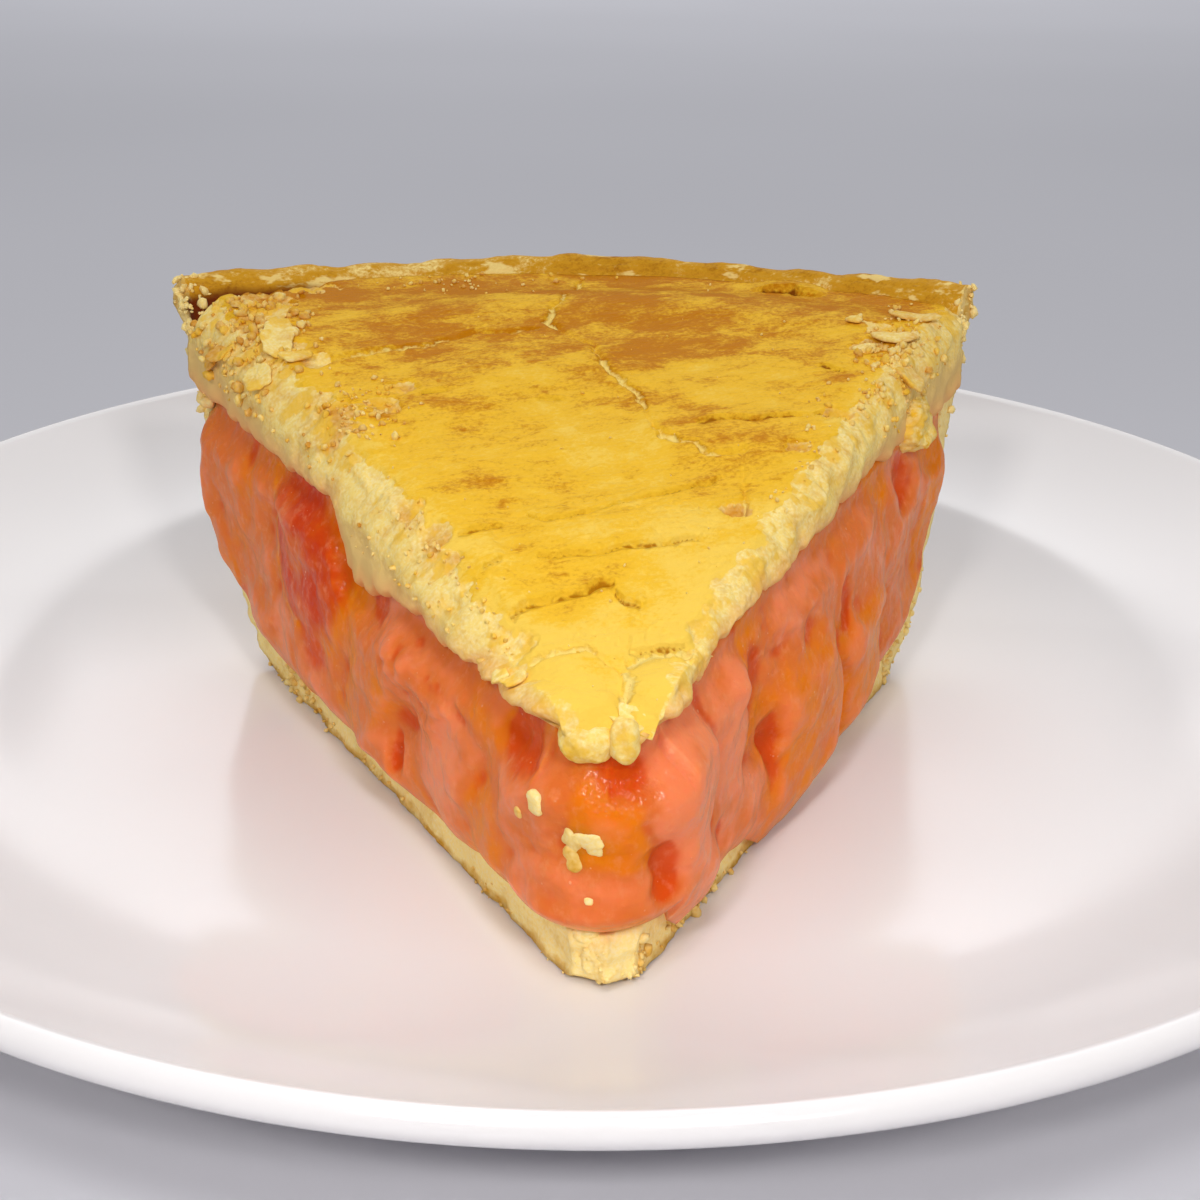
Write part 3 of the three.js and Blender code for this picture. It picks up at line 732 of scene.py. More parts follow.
def lid_underside(pie, reach, side=0.0):
    """Height of the underside: low towards the point, high behind its step. At the two cuts it follows the
    lower edge that shows there."""
    middle = mix(pie.lid.under_tip, pie.lid.under_back, smooth(reach, pie.lid.under_from, pie.lid.under_to))
    at_left = np.interp(reach, *np.array(LOW_EDGE_LEFT).T)
    at_right = np.interp(reach, *np.array(LOW_EDGE_RIGHT).T)
    low = middle + (at_left - middle) * smooth(-side, 0.6, 1)
    return low + (at_right - middle) * smooth(side, 0.6, 1)


def lid_skin(pie, reach, side):
    """Height of the skin: a slope that rises towards the rim, a low dome across, a slow ripple, and a dip
    where it meets the rim."""
    valley = smooth(reach, pie.lid.valley_from, pie.lid.valley_to)
    dome = pie.lid.dome * (1 - side**2) * smooth(reach, 8, 60) * (1 - 0.7 * valley)
    ripple = pie.lid.ripple * waves(reach * 0.11, side * 1.9)
    return pie.lid.tip_top + pie.lid.rise * reach + dome + ripple - pie.lid.valley * valley


def crumbly(a, b, seed):
    """Broken pastry in millimetres, about even around zero: a slow swell, torn lumps and small grains."""
    grains = cobbles(a / 1.5, b / 1.2, seed) - 0.5
    lumps = fractal(a / 3.2, b / 2.4, 0, 4, seed=seed + 1) + facets(a / 4, b / 3, seed + 3)
    return 0.1 * grains + 0.42 * lumps + 0.36 * fractal(a / 10, b / 8, octaves=2, seed=seed + 2)


def superball(x, y, z, size, squareness):
    """How far out a point is in a ball pulled towards a box: 1 on its surface."""
    parts = [np.abs(c / s) ** squareness for c, s in zip((x, y, z), size)]
    return (parts[0] + parts[1] + parts[2]) ** (1 / squareness)


# ---------- Plate ----------


def plate_surface(pie):
    """A closed profile turned round the middle: foot ring, underside, round lip, upper side and flat well.
    The side's height is the lip's times a share of its run to the power 2.1."""
    plate = pie.plate
    rise = plate.height - plate.well_top
    share_out = np.linspace(0, 1, 40)
    side_r = mix(plate.well_radius, plate.radius - plate.lip_round, share_out)
    side_z = plate.well_top + rise * share_out**2.1
    under_r = mix(plate.foot_outer + 8, plate.radius - 2.5, share_out)
    under_z = np.maximum(plate.foot_depth, side_z - mix(plate.side_wall, plate.lip_wall, share_out))
    bend = np.linspace(-math.pi / 4, math.pi / 2, 14)[:-1]
    lip_r = plate.radius - plate.lip_round + plate.lip_round * np.cos(bend)
    lip_z = plate.height - plate.lip_round + plate.lip_round * np.sin(bend)
    half = plate.foot_depth / 2
    foot_turn = np.linspace(math.pi, 2 * math.pi, 15)
    foot_middle = (plate.foot_inner + plate.foot_outer) / 2
    foot_half = (plate.foot_outer - plate.foot_inner) / 2
    foot_r = foot_middle + foot_half * np.sign(np.cos(foot_turn)) * np.abs(np.cos(foot_turn)) ** 0.6
    foot_z = half + half * np.sign(np.sin(foot_turn)) * np.abs(np.sin(foot_turn)) ** 0.6
    hub_r = np.linspace(4, plate.foot_inner - 3, 14)
    hub_z = np.full_like(hub_r, plate.foot_depth)
    well_r = np.linspace(plate.well_radius, 4, 24)[1:]
    well_z = np.full_like(well_r, plate.well_top)
    radius = np.concatenate([hub_r, foot_r, under_r[1:], lip_r, side_r[::-1], well_r])[:, None]
    height = np.concatenate([hub_z, foot_z, under_z[1:], lip_z, side_z[::-1], well_z])[:, None]
    around = PLATE_AROUND
    angle = np.arange(around) / around * 2 * math.pi
    ring = np.stack(np.broadcast_arrays(radius * np.cos(angle), radius * np.sin(angle), height), -1)
    points = np.concatenate([ring.reshape(-1, 3), [(0, 0, plate.foot_depth), (0, 0, plate.well_top)]])
    last = (len(radius) - 1) * around
    i = np.arange(around)
    ahead = (i + 1) % around
    low = np.stack([np.full(around, len(points) - 2), ahead, i], -1)
    high = np.stack([np.full(around, len(points) - 1), last + i, last + ahead], -1)
    return points, [tube_faces(len(radius), around), low, high]


# ---------- Bottom crust ----------


def case_surface(pie):
    """A block bent along the crust's profile and swept across the slice: outer face, inner face, the two cut
    faces, the broken point and the crimped rim."""
    faces, u, v, w = block(*CASE_CELLS)
    across = mix(2 * u - 1, np.sin((2 * u - 1) * math.pi / 2), 0.6)
    v = np.interp(v, [0, 0.4, 1], [0, FLOOR_SHARE, 1])
    reach, z, climbed = case_face(pie, v, w)
    outer = 1 - w
    uneven = 0.45 + 0.3 * noise(across * 3.3, 0.5, 0, 33)
    wave = uneven * np.cos(across * pie.case.crimps * math.pi + 1.3 * noise(across * 2.1, 0.7, 0, 36))
    crimp = (0.35 + 0.65 * outer) * smooth(climbed, pie.case.crimp_from, 1) * wave
    warp = pie.case.rim_warp * smooth(climbed, 0.5, 1) * waves(across * 2.2, 0.4)
    nose = pie.case.nose * (1 - np.abs(across) ** 1.7) * (1 - smooth(v, 0, 0.05))
    arc = across * pie.slice.half * reach
    skin = smooth(climbed, 0.02, 0.2)
    flaky = smooth(climbed, 0.66, 0.9)
    bumps = 0.35 * fractal(arc / 11, z / 9, w * 3, 3, seed=31) + 0.1 * cobbles(arc / 2.4, z / 2, seed=34)
    plates = cobbles(arc / 4, z / 1.6, 38) - 0.5
    scales = flaky * (0.5 * fractal(arc / 3.2, z / 1.1, w * 2, 3, seed=37) + 0.4 * plates)
    flare = 2.2 * smooth(-across, 0.78, 1) * smooth(climbed, 0.62, 1)
    outwards = np.where(w > 0.5, -1, 1)
    reach = reach + pie.case.crimp_out * crimp - nose + flare + outwards * (skin * bumps + 0.4 * scales)
    sink = 0.8 * smooth(climbed, 0.85, 1) + 0.8 * smooth(-across, 0.8, 1) * smooth(climbed, 0.62, 1)
    z = z + pie.case.crimp_up * crimp + warp + 0.6 * scales - sink
    cut = (np.abs(across) > 0.9999).astype(float)
    profile = np.interp(v, [0, FLOOR_SHARE, 1], [0, 83, 138])
    chip = crumbly(profile + 300 * (across > 0), z * 1.0 + reach * 0.25, 41)
    x, y = slice_point(pie, reach, across, 0.25 * cut + cut * chip)
    tip = smooth(pie.case.tip + 4 - reach, 0, 4)
    y = y - tip * 0.9 * crumbly(x, z, 47)
    front = 1 - np.clip((reach - pie.case.tip + nose) / 3.2, 0, 1)
    middle = pie.case.base / 2
    z = middle + (z - middle) * np.sqrt(np.maximum(1 - 0.75 * front**2, 0.2))
    lift = tip * 0.9 * smooth(w, 0.4, 1) * fractal(x / 2.6, y / 2.2, 0, 2, seed=49)
    # The gap field marks the side's inner face above the split top crust, where the material paints shade.
    gap = smooth(w, 0.3, 0.9) * smooth(-across, 0.5, 0.8)
    gap = gap * smooth(climbed, 0.5, 0.7) * (1 - smooth(climbed, 0.84, 0.93))
    low = 1 - smooth(z + 0.9 * fractal(profile / 5, z, 4, 2, seed=44), 0.2, 1.8)
    fields = {"bare": np.maximum(cut, tip), "climbed": climbed, "gap": gap, "low": low}
    points = to_row(pie, x, y, np.maximum(z + lift, 0.05 - GAP))
    east, north = slice_point(pie, 1.0, across)
    to_plate = np.stack([east, north, 0 * east], -1) * outwards[:, None]
    turned = across * (math.pi / 2 - pie.slice.half)
    from_cut = np.stack([np.sin(turned), -np.cos(turned), 0 * turned], -1)
    out = np.where(cut[:, None] > 0, from_cut, to_plate)
    spots = {"points": points, "out": out, "side": across, "reach": reach, "z": z, "cut": cut}
    return points, [faces], fields, spots


# ---------- Top crust ----------


def torn(pie, x, y, line, wander, seed):
    """Distance to a crack whose line is shaken by noise, so that it wanders and splinters."""
    shaken_x = x + wander * fractal(x / 4, y / 4, 0, 4, seed=seed, keep=0.6)
    shaken_y = y + wander * fractal(x / 4, y / 4, 7, 4, seed=seed, keep=0.6)
    return line_distance(shaken_x, shaken_y, plan_line(pie, line))


def ledge(x, y, reach, side, line, height, seed):
    """A lifted sheet's edge: the height steps up behind a wandering line and fades over some millimetres, and
    it fades at both ends. Also the distance to the line under the edge, where a painted shadow goes."""
    sides, reaches = np.array(line).T
    past = reach - np.interp(side, sides, reaches) + 1.2 * fractal(x / 3.5, y / 3.5, 0, 4, seed=seed)
    ends = smooth(side, sides[0] - 0.03, sides[0] + 0.05)
    ends = ends * (1 - smooth(side, sides[-1] - 0.05, sides[-1] + 0.03))
    step = height * ends * smooth(past, -0.15, 0.25) * np.exp(-np.maximum(past, 0) / 6)
    ditch = -0.5 * height * ends * np.exp(-(((past + 0.3) / 0.35) ** 2))
    opening = (0.12 * height + 0.32 * fractal(x / 3, y / 3, 5, 3, seed=seed)) * smooth(ends, 0.1, 0.9)
    return step + ditch, np.abs(past + 0.25) - opening + FAR * (1 - smooth(ends, 0.1, 0.7))


def skin_relief(pie, x, y, reach, side):
    """What baking and cutting did to the skin: its height change in millimetres and the fields that colour
    it. Cracks are valleys by distance from their lines, lifted sheets are steps, pits and the cut edges are
    sunk and torn, and thin layers make long low terraces that run across the slice."""
    edge = reach * (1 - np.abs(side)) * pie.slice.half
    cracks = [torn(pie, x, y, line, 1.8, 60 + i) for i, line in enumerate(CRACKS.values())]
    crack = np.minimum.reduce(cracks)
    slit = np.full_like(x, FAR)
    sheets = np.zeros_like(x)
    for i, (line, height) in enumerate(LEDGES.values()):
        step, ditch = ledge(x, y, reach, side, line, height, 80 + i)
        sheets = sheets + step
        slit = np.minimum(slit, ditch)
    bare_width = mix(0.9, 1.6, smooth(side, -0.4, 0.4)) * smooth(reach, 5, 40)
    ragged = edge + 1.5 * fractal(x / 6, y / 4, 0, 2, seed=12)
    ragged = ragged + 1.1 * fractal(x / 1.6, y / 1.2, 0, 3, seed=11)
    bare = 1 - smooth(ragged, bare_width, bare_width + 1.0)
    brown = np.zeros_like(x)
    sunk = np.zeros_like(x)
    for i, (pit_reach, pit_side, radius, burnt) in enumerate(PITS):
        px, py = slice_point(pie, pit_reach, pit_side)
        away = np.hypot(x - px, (y - py) * 1.2) / radius + 0.7 * fractal(x / 2.6, y / 2.0, i, 3, seed=20)
        pit = 1 - smooth(away, 0.6, 0.95)
        sunk = np.maximum(sunk, pit)
        brown = np.maximum(brown, (1 - smooth(away, 0.3, 1.25)) * burnt)
    broken = np.maximum(bare, sunk)
    rubble = fractal(x / 1.9, y / 1.5, 0, 3, seed=14)
    shreds = np.round(rubble * 3) / 3
    grain = cobbles(x / 0.95, y / 0.8, 15) - 0.45
    torn_down = broken * (0.42 * shreds + 0.3 * rubble + 0.1 * grain - 0.1) - 0.45 * sunk
    along, across = streaks(x, y)
    layer = fractal(along / 26, across / 5.5, 0, 4, seed=17, keep=0.55) * 8
    terrace = np.floor(layer) + smooth(layer - np.floor(layer), 0.0, 0.14)
    flaking = smooth(fractal(x / 17, y / 13, 3, 2, seed=18) + 0.45 * (1 - reach / 80), 0.0, 0.4)
    steps = (1 - broken) * (0.04 + 0.17 * flaking) * (terrace - layer)
    lipped = smooth(fractal(x / 9, y / 9, 5, 2, seed=19), -0.3, 0.5)
    lips = 0.16 * np.exp(-(((crack - 0.9) / 0.9) ** 2)) * lipped
    depth = smooth(fractal(x / 7, y / 7, 8, 2, seed=23), -0.7, 0.1)
    groove = -0.75 * depth * np.exp(-((crack / 0.38) ** 2))
    blister = 0.4 * fractal(x / 13, y / 10, 9, 2, seed=21)
    blister = blister + 0.09 * fractal(along / 5, across / 2, 9, 2, seed=22)
    shoulder = np.where(side < 0, 3.4, 2.4)
    rounded = -0.42 * shoulder * (1 - np.clip(edge / shoulder, 0, 1)) ** 2
    relief = torn_down + steps + sheets + lips + groove + blister + rounded
    fields = {
        "bare": broken,
        "crack": np.minimum(crack + 1.5 * (1 - depth), FAR),
        "slit": np.minimum(slit, FAR),
        "brown": brown,
        "edge": np.minimum(edge, 12),
    }
    return relief, fields


def streaks(x, y):
    """Plan coordinates along and across the direction in which the dough was rolled."""
    c, s = math.cos(ROLLED), math.sin(ROLLED)
    return x * c + y * s, y * c - x * s


def flake_top(pie, x, y, flake):
    """Height of a rounded flake at the point: the upper half of a squared ball."""
    reach, side, z, size = flake
    cx, cy = slice_point(pie, reach, side)
    flat = (np.abs((x - cx) / size[0]) ** 2.8 + np.abs((y - cy) / size[1]) ** 2.8) ** (1 / 2.8)
    return np.where(flat < 1, z + size[2] * np.maximum(1 - flat**2.8, 0) ** (1 / 2.8), -99)


def lid_surface(pie):
    """A closed ring across the slice, skin, right cut, underside and left cut, carried from the point to
    the rim and closed at both ends."""
    top, down, under, rows = LID_TOP, LID_DOWN, LID_UNDER, LID_ROWS
    spread = np.linspace(-1, 1, top)
    spread = mix(spread, np.sin(spread * math.pi / 2), 0.3)
    stair = np.linspace(1, 0, down + 2)[1:-1]
    side = np.concatenate([spread, np.ones(down), np.linspace(1, -1, under), -np.ones(down)])[None, :]
    w = np.concatenate([np.ones(top), stair, np.zeros(under), stair[::-1]])[None, :]
    v = np.linspace(0, 1, rows)[:, None]
    nominal = mix(pie.lid.tip, inner_radius(pie, 48.0), v)
    flat = lid_skin(pie, nominal, side)
    split = pie.lid.split_gap * smooth(-side, 0.5, 0.92)
    back = inner_radius(pie, flat) - pie.lid.back_gap - split
    nose = pie.lid.tip + 1.2 * side**2 + 0.9 * noise(side * 3.1, 0.5, 0, 9)
    reach = mix(nose, back, v)
    x, y = slice_point(pie, reach, side)
    relief, fields = skin_relief(pie, x, y, reach, side)
    skin = flat + relief
    for flake in (LEFT_FLAKE, RIGHT_FLAKE):
        dome = flake_top(pie, x, y, flake) + 0.35 * fractal(x / 2.5, y / 2.5, 2, 3, seed=24)
        skin = np.where(dome > skin, mix(skin, dome, smooth(dome - skin, 0, 0.5)), skin)
        fields["bare"] = fields["bare"] * np.where(dome > skin - 0.05, 0.55, 1)
    skin = skin - 1.2 * (1 - smooth(reach - nose, 0, 2.2)) ** 2
    drip = 0.9 * fractal(nominal / 6, side * 4, 0, 3, seed=25)
    drip = drip + 0.6 * fractal(nominal / 2, side * 4, 0, 2, seed=26)
    bottom = lid_underside(pie, nominal, side) + drip * smooth(np.abs(side), 0.8, 1)
    z = mix(bottom, skin, w)
    on_side = (np.abs(side) > 0.9999).astype(float)
    cut = on_side * (1 - w**10)
    below = skin - z
    shoulder = np.where(side < 0, 4.2, 2.6)
    bevel = np.where(side < 0, 2.4, 1.2) * (1 - np.clip(1 - below / shoulder, 0, 1) ** 2)
    round_low = -1.3 * np.clip(1 - (z - bottom) / 1.6, 0, 1) ** 2
    swell = 0.3 * waves(nominal * 0.31, z * 0.6, side * 3)
    chip = crumbly(nominal + 200 * (side > 0), z, 51) * mix(1.0, 0.45, smooth(below, 3, 7))
    out = on_side * (bevel + (chip + swell) * smooth(below, 0, 1.2) + round_low)
    out = out + pie.lid.tip_flare * (1 - smooth(nominal, 8, 24)) * side**2
    x, y = slice_point(pie, reach - split * (w - 1), side, out)
    z = z + np.where(w == 0, 0.3 * fractal(x / 4, y / 4, 0, 2, seed=27), 0)
    faces = tube_faces(rows, side.size)
    ring = side.size
    chain_top = np.arange(top)
    chain_low = np.concatenate([[0], np.arange(ring - 1, top - 1, -1), [top - 1]])
    last = (rows - 1) * ring
    caps = [zip_faces(chain_top, chain_low), zip_faces(last + chain_top, last + chain_low)[:, ::-1]]
    fields["cut"] = np.maximum(cut, (w == 0) * 1.0) + 0 * x
    fields["below"] = np.minimum(below, 20) + 0 * x
    fields["thin"] = 1 - smooth(z - bottom, 0, 4.5) + 0 * x
    fields["brown"] = fields["brown"] * smooth(w, 0.6, 1)
    points = to_row(pie, x, y, z)
    whole = np.zeros_like(x)
    spots = {"reach": nominal + whole, "side": side + whole, "z": z, "w": w + whole, "points": points}
    return points, [faces, *caps], fields, spots


def lumps_surface(pie, lumps, seed):
    """Balls pulled towards boxes and roughened by noise and cobbles, joined in one mesh."""
    unit, parts = ball(40, 64)
    points, faces = [], []
    for i, (reach, side, z, size, knock) in enumerate(lumps):
        flat = superball(*unit.T, (1, 1, 1), 2.8)[:, None]
        body = unit / flat * np.array(size)
        rough = 1 + 0.07 * waves(unit[:, 0] * 2.1 + i, unit[:, 1] * 2.3 - i, unit[:, 2] * 1.9)
        grain = cobbles(body[:, 0] / 1.5 + 9 * i, body[:, 2] / 1.3 + body[:, 1] / 1.4, seed + i) - 0.5
        rough = rough + knock * (0.3 * grain + fractal(*(body / 2.6).T, 3, seed=seed + i))
        body = body * rough[:, None]
        cx, cy = slice_point(pie, reach, side)
        faces.extend(part + i * len(unit) for part in parts)
        points.append(to_row(pie, body[:, 0] + cx, body[:, 1] + cy, body[:, 2] + z))
    return np.concatenate(points), faces


# ---------- Filling ----------


def filling_path(pie):
    """The filling's outline in plan, as one closed ring: up the left cut to the rounded front, back along the
    right cut, and round the inside of the wall. Gives, for each corner, which stretch it is on, how far along
    that stretch it is, and its travel, which is 0 at the front and grows along the right cut."""
    along, front, behind = FILLING_ALONG, FILLING_FRONT, FILLING_BEHIND
    run = (np.arange(along) + 0.5) / along
    quarter = math.pi / 2 - pie.slice.half
    bend = np.linspace(-quarter, quarter, front)
    cut = np.concatenate([-np.ones(along), np.zeros(front), np.ones(along), np.full(behind, 2)])
    t = np.concatenate([run[::-1], np.zeros(front), run, np.linspace(1, -1, behind)])
    angle = np.concatenate([np.full(along, -quarter), bend, np.full(along, quarter), np.zeros(behind)])
    return cut, t, angle


def chunk_height(travel, z, place, chunk):
    """How far a chunk stands out: a nearly flat face that slopes a little, inside a leaning outline shaken by
    noise, past which it falls steeply."""
    at, up, half_length, half_height, out, lean, slope_along, slope_up, _ = chunk
    c, s = math.cos(math.radians(lean)), math.sin(math.radians(lean))
    shaken = travel + 1.6 * fractal(travel / 7, z / 7, at, 2, seed=71)
    raised = z + 1.6 * fractal(travel / 7, z / 7, at + 9, 2, seed=71)
    a = ((shaken - place) * c - (raised - up) * s) / half_length
    b = ((shaken - place) * s + (raised - up) * c) / half_height
    p = CHUNK_SQUARENESS
    away = (np.abs(a) ** p + np.abs(b) ** p) ** (1 / p)
    size = min(half_length, half_height)
    face = out + slope_along * a + slope_up * b - 0.5 * away**2
    return face - 1.1 * size * np.logaddexp(0, (away - 0.95) * 8) / 8


def filling_relief(pie, travel, z):
    """Height of the filling out of its cuts: the soft highest of the chunks and the gel between them, less
    the juice hollows, with lumpy wet flesh and torn facets on it. Also the fields that colour it: the tone
    of each place, how deep it is beside its neighbours, which the material paints as shade, and how raised
    it is, which it paints as a highlight."""
    quarter = math.pi / 2 - pie.slice.half
    bend_radius = pie.filling.tip * math.tan(pie.slice.half)
    to_along = pie.filling.tip - quarter * bend_radius
    gel = np.where(travel < 0, 2.7, 2.0) + 0.8 * fractal(travel / 8, z / 7, 0, 3, seed=70)
    sharp = 1.9
    heights, tones = [gel], [0.85 + 0.6 * fractal(travel / 9, z / 9, 2, 2, seed=69)]
    for sign, chunks in ((-1, LEFT_CHUNKS), (1, RIGHT_CHUNKS)):
        for chunk in chunks:
            heights.append(chunk_height(travel, z, sign * (chunk[0] - to_along), chunk))
            tones.append(np.full_like(travel, chunk[-1]))
    heights = np.stack(heights)
    weights = np.exp(sharp * np.clip(heights, -6, 8))
    height = np.log(weights.sum(0)) / sharp
    claims = weights * np.array([1.0] + [8.0] * (len(tones) - 1))[:, None, None]
    tone = (claims * np.stack(tones)).sum(0) / claims.sum(0)
    hollow = np.zeros_like(travel)
    for at, up, half_width, half_height, depth in HOLLOWS:
        shaken = travel + 1.2 * fractal(travel / 3.5, z / 3.5, at, 2, seed=73)
        away = np.hypot((shaken - at) / half_width, (z - up) / half_height)
        inside = 1 - smooth(away, 0.2, 1.2)
        height = height - depth * inside
        hollow = np.maximum(hollow, inside)
    wet = np.zeros_like(travel)
    for at, up, half_width, half_height, strength in WET_PLACES:
        wet = wet + strength * np.exp(-(((travel - at) / half_width) ** 2) - ((z - up) / half_height) ** 2)
    rounds = fractal(travel / 2.4, z / 2.1, 3, 3, seed=76, keep=0.45)
    lumpy = (0.16 + 0.8 * wet) * rounds
    torn = 1.1 * facets(travel / 9, z / 8, 78) + 0.35 * facets(travel / 4.5, z / 4.5, 79)
    height = height + lumpy + torn + 0.14 * fractal(travel / 4, z / 4, 4, 2, seed=72)
    around = blurred(height, 9)
    # The deep field marks creases and hollows below their neighbours, where the material paints shade, and
    # the next field marks raised places, where it paints a highlight.
    deep = np.clip(smooth(around - height, 0.05, 0.7) + hollow, 0, 1)
    return height, {"tone": np.clip(tone, 0, 2), "deep": deep, "ridge_highlight": smooth(height - around, 0.05, 0.5)}


def blurred(values, reach):
    """Each value's mean over a square of neighbours, by running sums along both directions."""
    for axis in (0, 1):
        padded = np.pad(values, [(reach + 1, reach) if a == axis else (0, 0) for a in (0, 1)], mode="edge")
        total = np.cumsum(padded, axis)
        high = np.take(total, np.arange(2 * reach + 1, total.shape[axis]), axis)
        low = np.take(total, np.arange(0, total.shape[axis] - 2 * reach - 1), axis)
        values = (high - low) / (2 * reach + 1)
    return values


def filling_surface(pie):
    """Rings of the filling's outline stacked from the crust's floor to the lid, each moved out of the cuts by
    the relief, and closed above and below by rings that shrink to a middle point."""
    cut, t, angle = filling_path(pie)
    levels = FILLING_LEVELS
    share_up = np.linspace(0, 1, levels)[:, None]
    cut, t, angle = (a[None, :] for a in (cut, t, angle))
    tip = pie.filling.tip
    bend_radius = tip * math.tan(pie.slice.half)
    centre = tip / math.cos(pie.slice.half)
    reach_end = inner_radius(pie, 20.0) - GAP
    nominal = np.where(np.abs(cut) == 1, mix(tip, reach_end, t), centre - bend_radius * np.cos(angle))
    nominal = np.where(cut == 2, reach_end, nominal)
    droop = np.where(cut == 1, np.interp(nominal, *np.array(SPILL).T), 0)
    side = np.where(cut == 2, t, cut)
    low = case_top(pie, nominal) + GAP - droop
    high = lid_underside(pie, nominal, side) + 1.6
    z = mix(low, high, share_up)
    end = (inner_radius(pie, z) - GAP - 0.1) * (1 - pie.slice.skew * side)
    over = np.where(cut == -1, 4.2 * smooth(z, 6, 14) * (1 - smooth(z, 34, 39)), 0)
    over = over + np.where(cut == 1, 2.2 * smooth(z, 8, 14) * (1 - smooth(z, 30, 36)), 0)
    along = mix(tip, end + over, t)
    quarter = math.pi / 2 - pie.slice.half
    travel = np.where(cut == 0, angle * bend_radius, cut * (along - tip + quarter * bend_radius))
    relief, fields = filling_relief(pie, travel, z)
    foot = mix(0.55, 1, np.sin(math.pi / 2 * np.clip(share_up / 0.15, 0, 1)))
    roof = high - 1.6
    relief = mix(relief * foot, 0.5, smooth(z, roof - 6, roof - 0.5)) - 0.9 * smooth(z, roof, high)
    end_round = np.where(np.abs(cut) == 1, smooth(end + over - along, 0, 3.5), 1)
    relief = np.where(cut == 2, 0, relief * mix(0.35, 1, end_round))
    direction = np.where(cut == 1, 1, -1) * pie.slice.half
    line_x = along * np.sin(direction) + relief * np.sin(angle)
    line_y = along * np.cos(direction) - relief * np.cos(angle)
    front_x = (bend_radius + relief) * np.sin(angle)
    front_y = centre - (bend_radius + relief) * np.cos(angle)
    back_x, back_y = slice_point(pie, inner_radius(pie, z) - GAP - 0.1, np.where(cut == 2, t, 0))
    x = np.where(cut == 0, front_x, np.where(cut == 2, back_x, line_x))
    y = np.where(cut == 0, front_y, np.where(cut == 2, back_y, line_y))
    ring = cut.size
    grid = to_row(pie, x, y, z)
    middle = np.array([(*slice_point(pie, 70.0, 0.0), 0.0)])
    low_point = to_row(pie, middle[:, 0], middle[:, 1], np.array([floor_thickness(pie, 70.0) + GAP]))
    high_point = to_row(pie, middle[:, 0], middle[:, 1], np.array([lid_underside(pie, 70.0)]))
    shrink = np.array([0.93, 0.6, 0.25])[:, None, None]
    below = mix(low_point, grid[0], shrink)[::-1]
    above = mix(high_point, grid[-1], shrink)
    stack = [part.reshape(-1, 3) for part in (below, grid, above)]
    points = np.concatenate([*stack, low_point, high_point])
    rows = levels + 6
    last = (rows - 1) * ring
    i = np.arange(ring)
    ahead = (i + 1) % ring
    caps = [
        np.stack([np.full(ring, rows * ring), ahead, i], -1),
        np.stack([np.full(ring, rows * ring + 1), last + i, last + ahead], -1),
    ]
    padded = {}
    for key, values in fields.items():
        plain = np.zeros(3 * ring)
        padded[key] = np.concatenate([plain, values.ravel(), plain, [0, 0]])
    return points, [tube_faces(rows, ring), *caps], padded, (grid, travel + 0 * z, z)


# ---------- Loose bits ----------


def grid_normals(points):
    """Outward directions at the corners of a stack of rings: the cross product of its two runs."""
    around = np.roll(points, -1, 1) - np.roll(points, 1, 1)
    normal = np.cross(around, np.gradient(points, axis=0))
    return normal / np.maximum(np.linalg.norm(normal, axis=-1, keepdims=True), 1e-9)


def pick(weights, many, rng):
    """Draws corners of a grid at random, each with its own weight."""
    return rng.choice(weights.size, many, replace=False, p=weights.ravel() / weights.sum())


def loose_bits(centres, outward, radius, rng):
    """Crumbs as small balls with knocked-in corners, each flattened, turned at random and sunk a little into
    what it lies on, joined in one mesh."""
    knock, flat, sunk = 0.32, 0.75, 0.3
    unit, parts = ball(4, 7)
    many = len(centres)
    body = unit[None] * rng.uniform(1 - knock, 1 + 0.6 * knock, (many, len(unit), 1))
    body = body * rng.uniform((flat, flat * 0.8, flat * 0.6), (1.25, 1, flat), (many, 3))[:, None, :]
    turns, _ = np.linalg.qr(rng.normal(size=(many, 3, 3)))
    turns[:, :, 0] *= np.linalg.det(turns)[:, None]
    body = np.einsum("nij,nkj->nki", turns, body) * radius[:, None, None]
    points = body + (centres + outward * (1 - 2 * sunk) * radius[:, None])[:, None, :]
    first = (np.arange(many) * len(unit))[:, None, None]
    faces = [(part[None] + first).reshape(-1, part.shape[1]) for part in parts]
    return points.reshape(-1, 3), faces, len(unit)


def flakes_surface(flakes, torn_edge=0.3):
    """Thin torn plates of pastry, each a ball pulled towards a box, squashed flat, bent along its length and
    ragged round its outline by noise as far as torn_edge. A flake is a place, a direction out, a direction
    along, two half sizes, a thickness and a bend."""
    unit, parts = ball(12, 36)
    flat = superball(*unit.T, (1, 1, 1), 3.0)
    body = unit / flat[:, None]
    points, faces = [], []
    for i, (place, out, along, size, thick, bend) in enumerate(flakes):
        out = out / np.linalg.norm(out)
        across = np.cross(out, along)
        across /= np.linalg.norm(across)
        along = np.cross(across, out)
        angle = np.arctan2(unit[:, 1], unit[:, 0])
        ragged = 1 + torn_edge * fractal(2.2 * np.cos(angle) + 7 * i, 2.2 * np.sin(angle), 0, 3, seed=95)
        a = body[:, 0] * size[0] * ragged
        b = body[:, 1] * size[1] * ragged
        buckle = 0.25 * fractal(a / 1.5 + 9 * i, b / 1.5, 0, 2, seed=96)
        c = body[:, 2] * thick + bend * ((a / size[0]) ** 2 - 0.4) + buckle
        points.append(place + a[:, None] * along + b[:, None] * across + c[:, None] * out)
        faces.extend(part + i * len(unit) for part in parts)
    return np.concatenate(points), faces


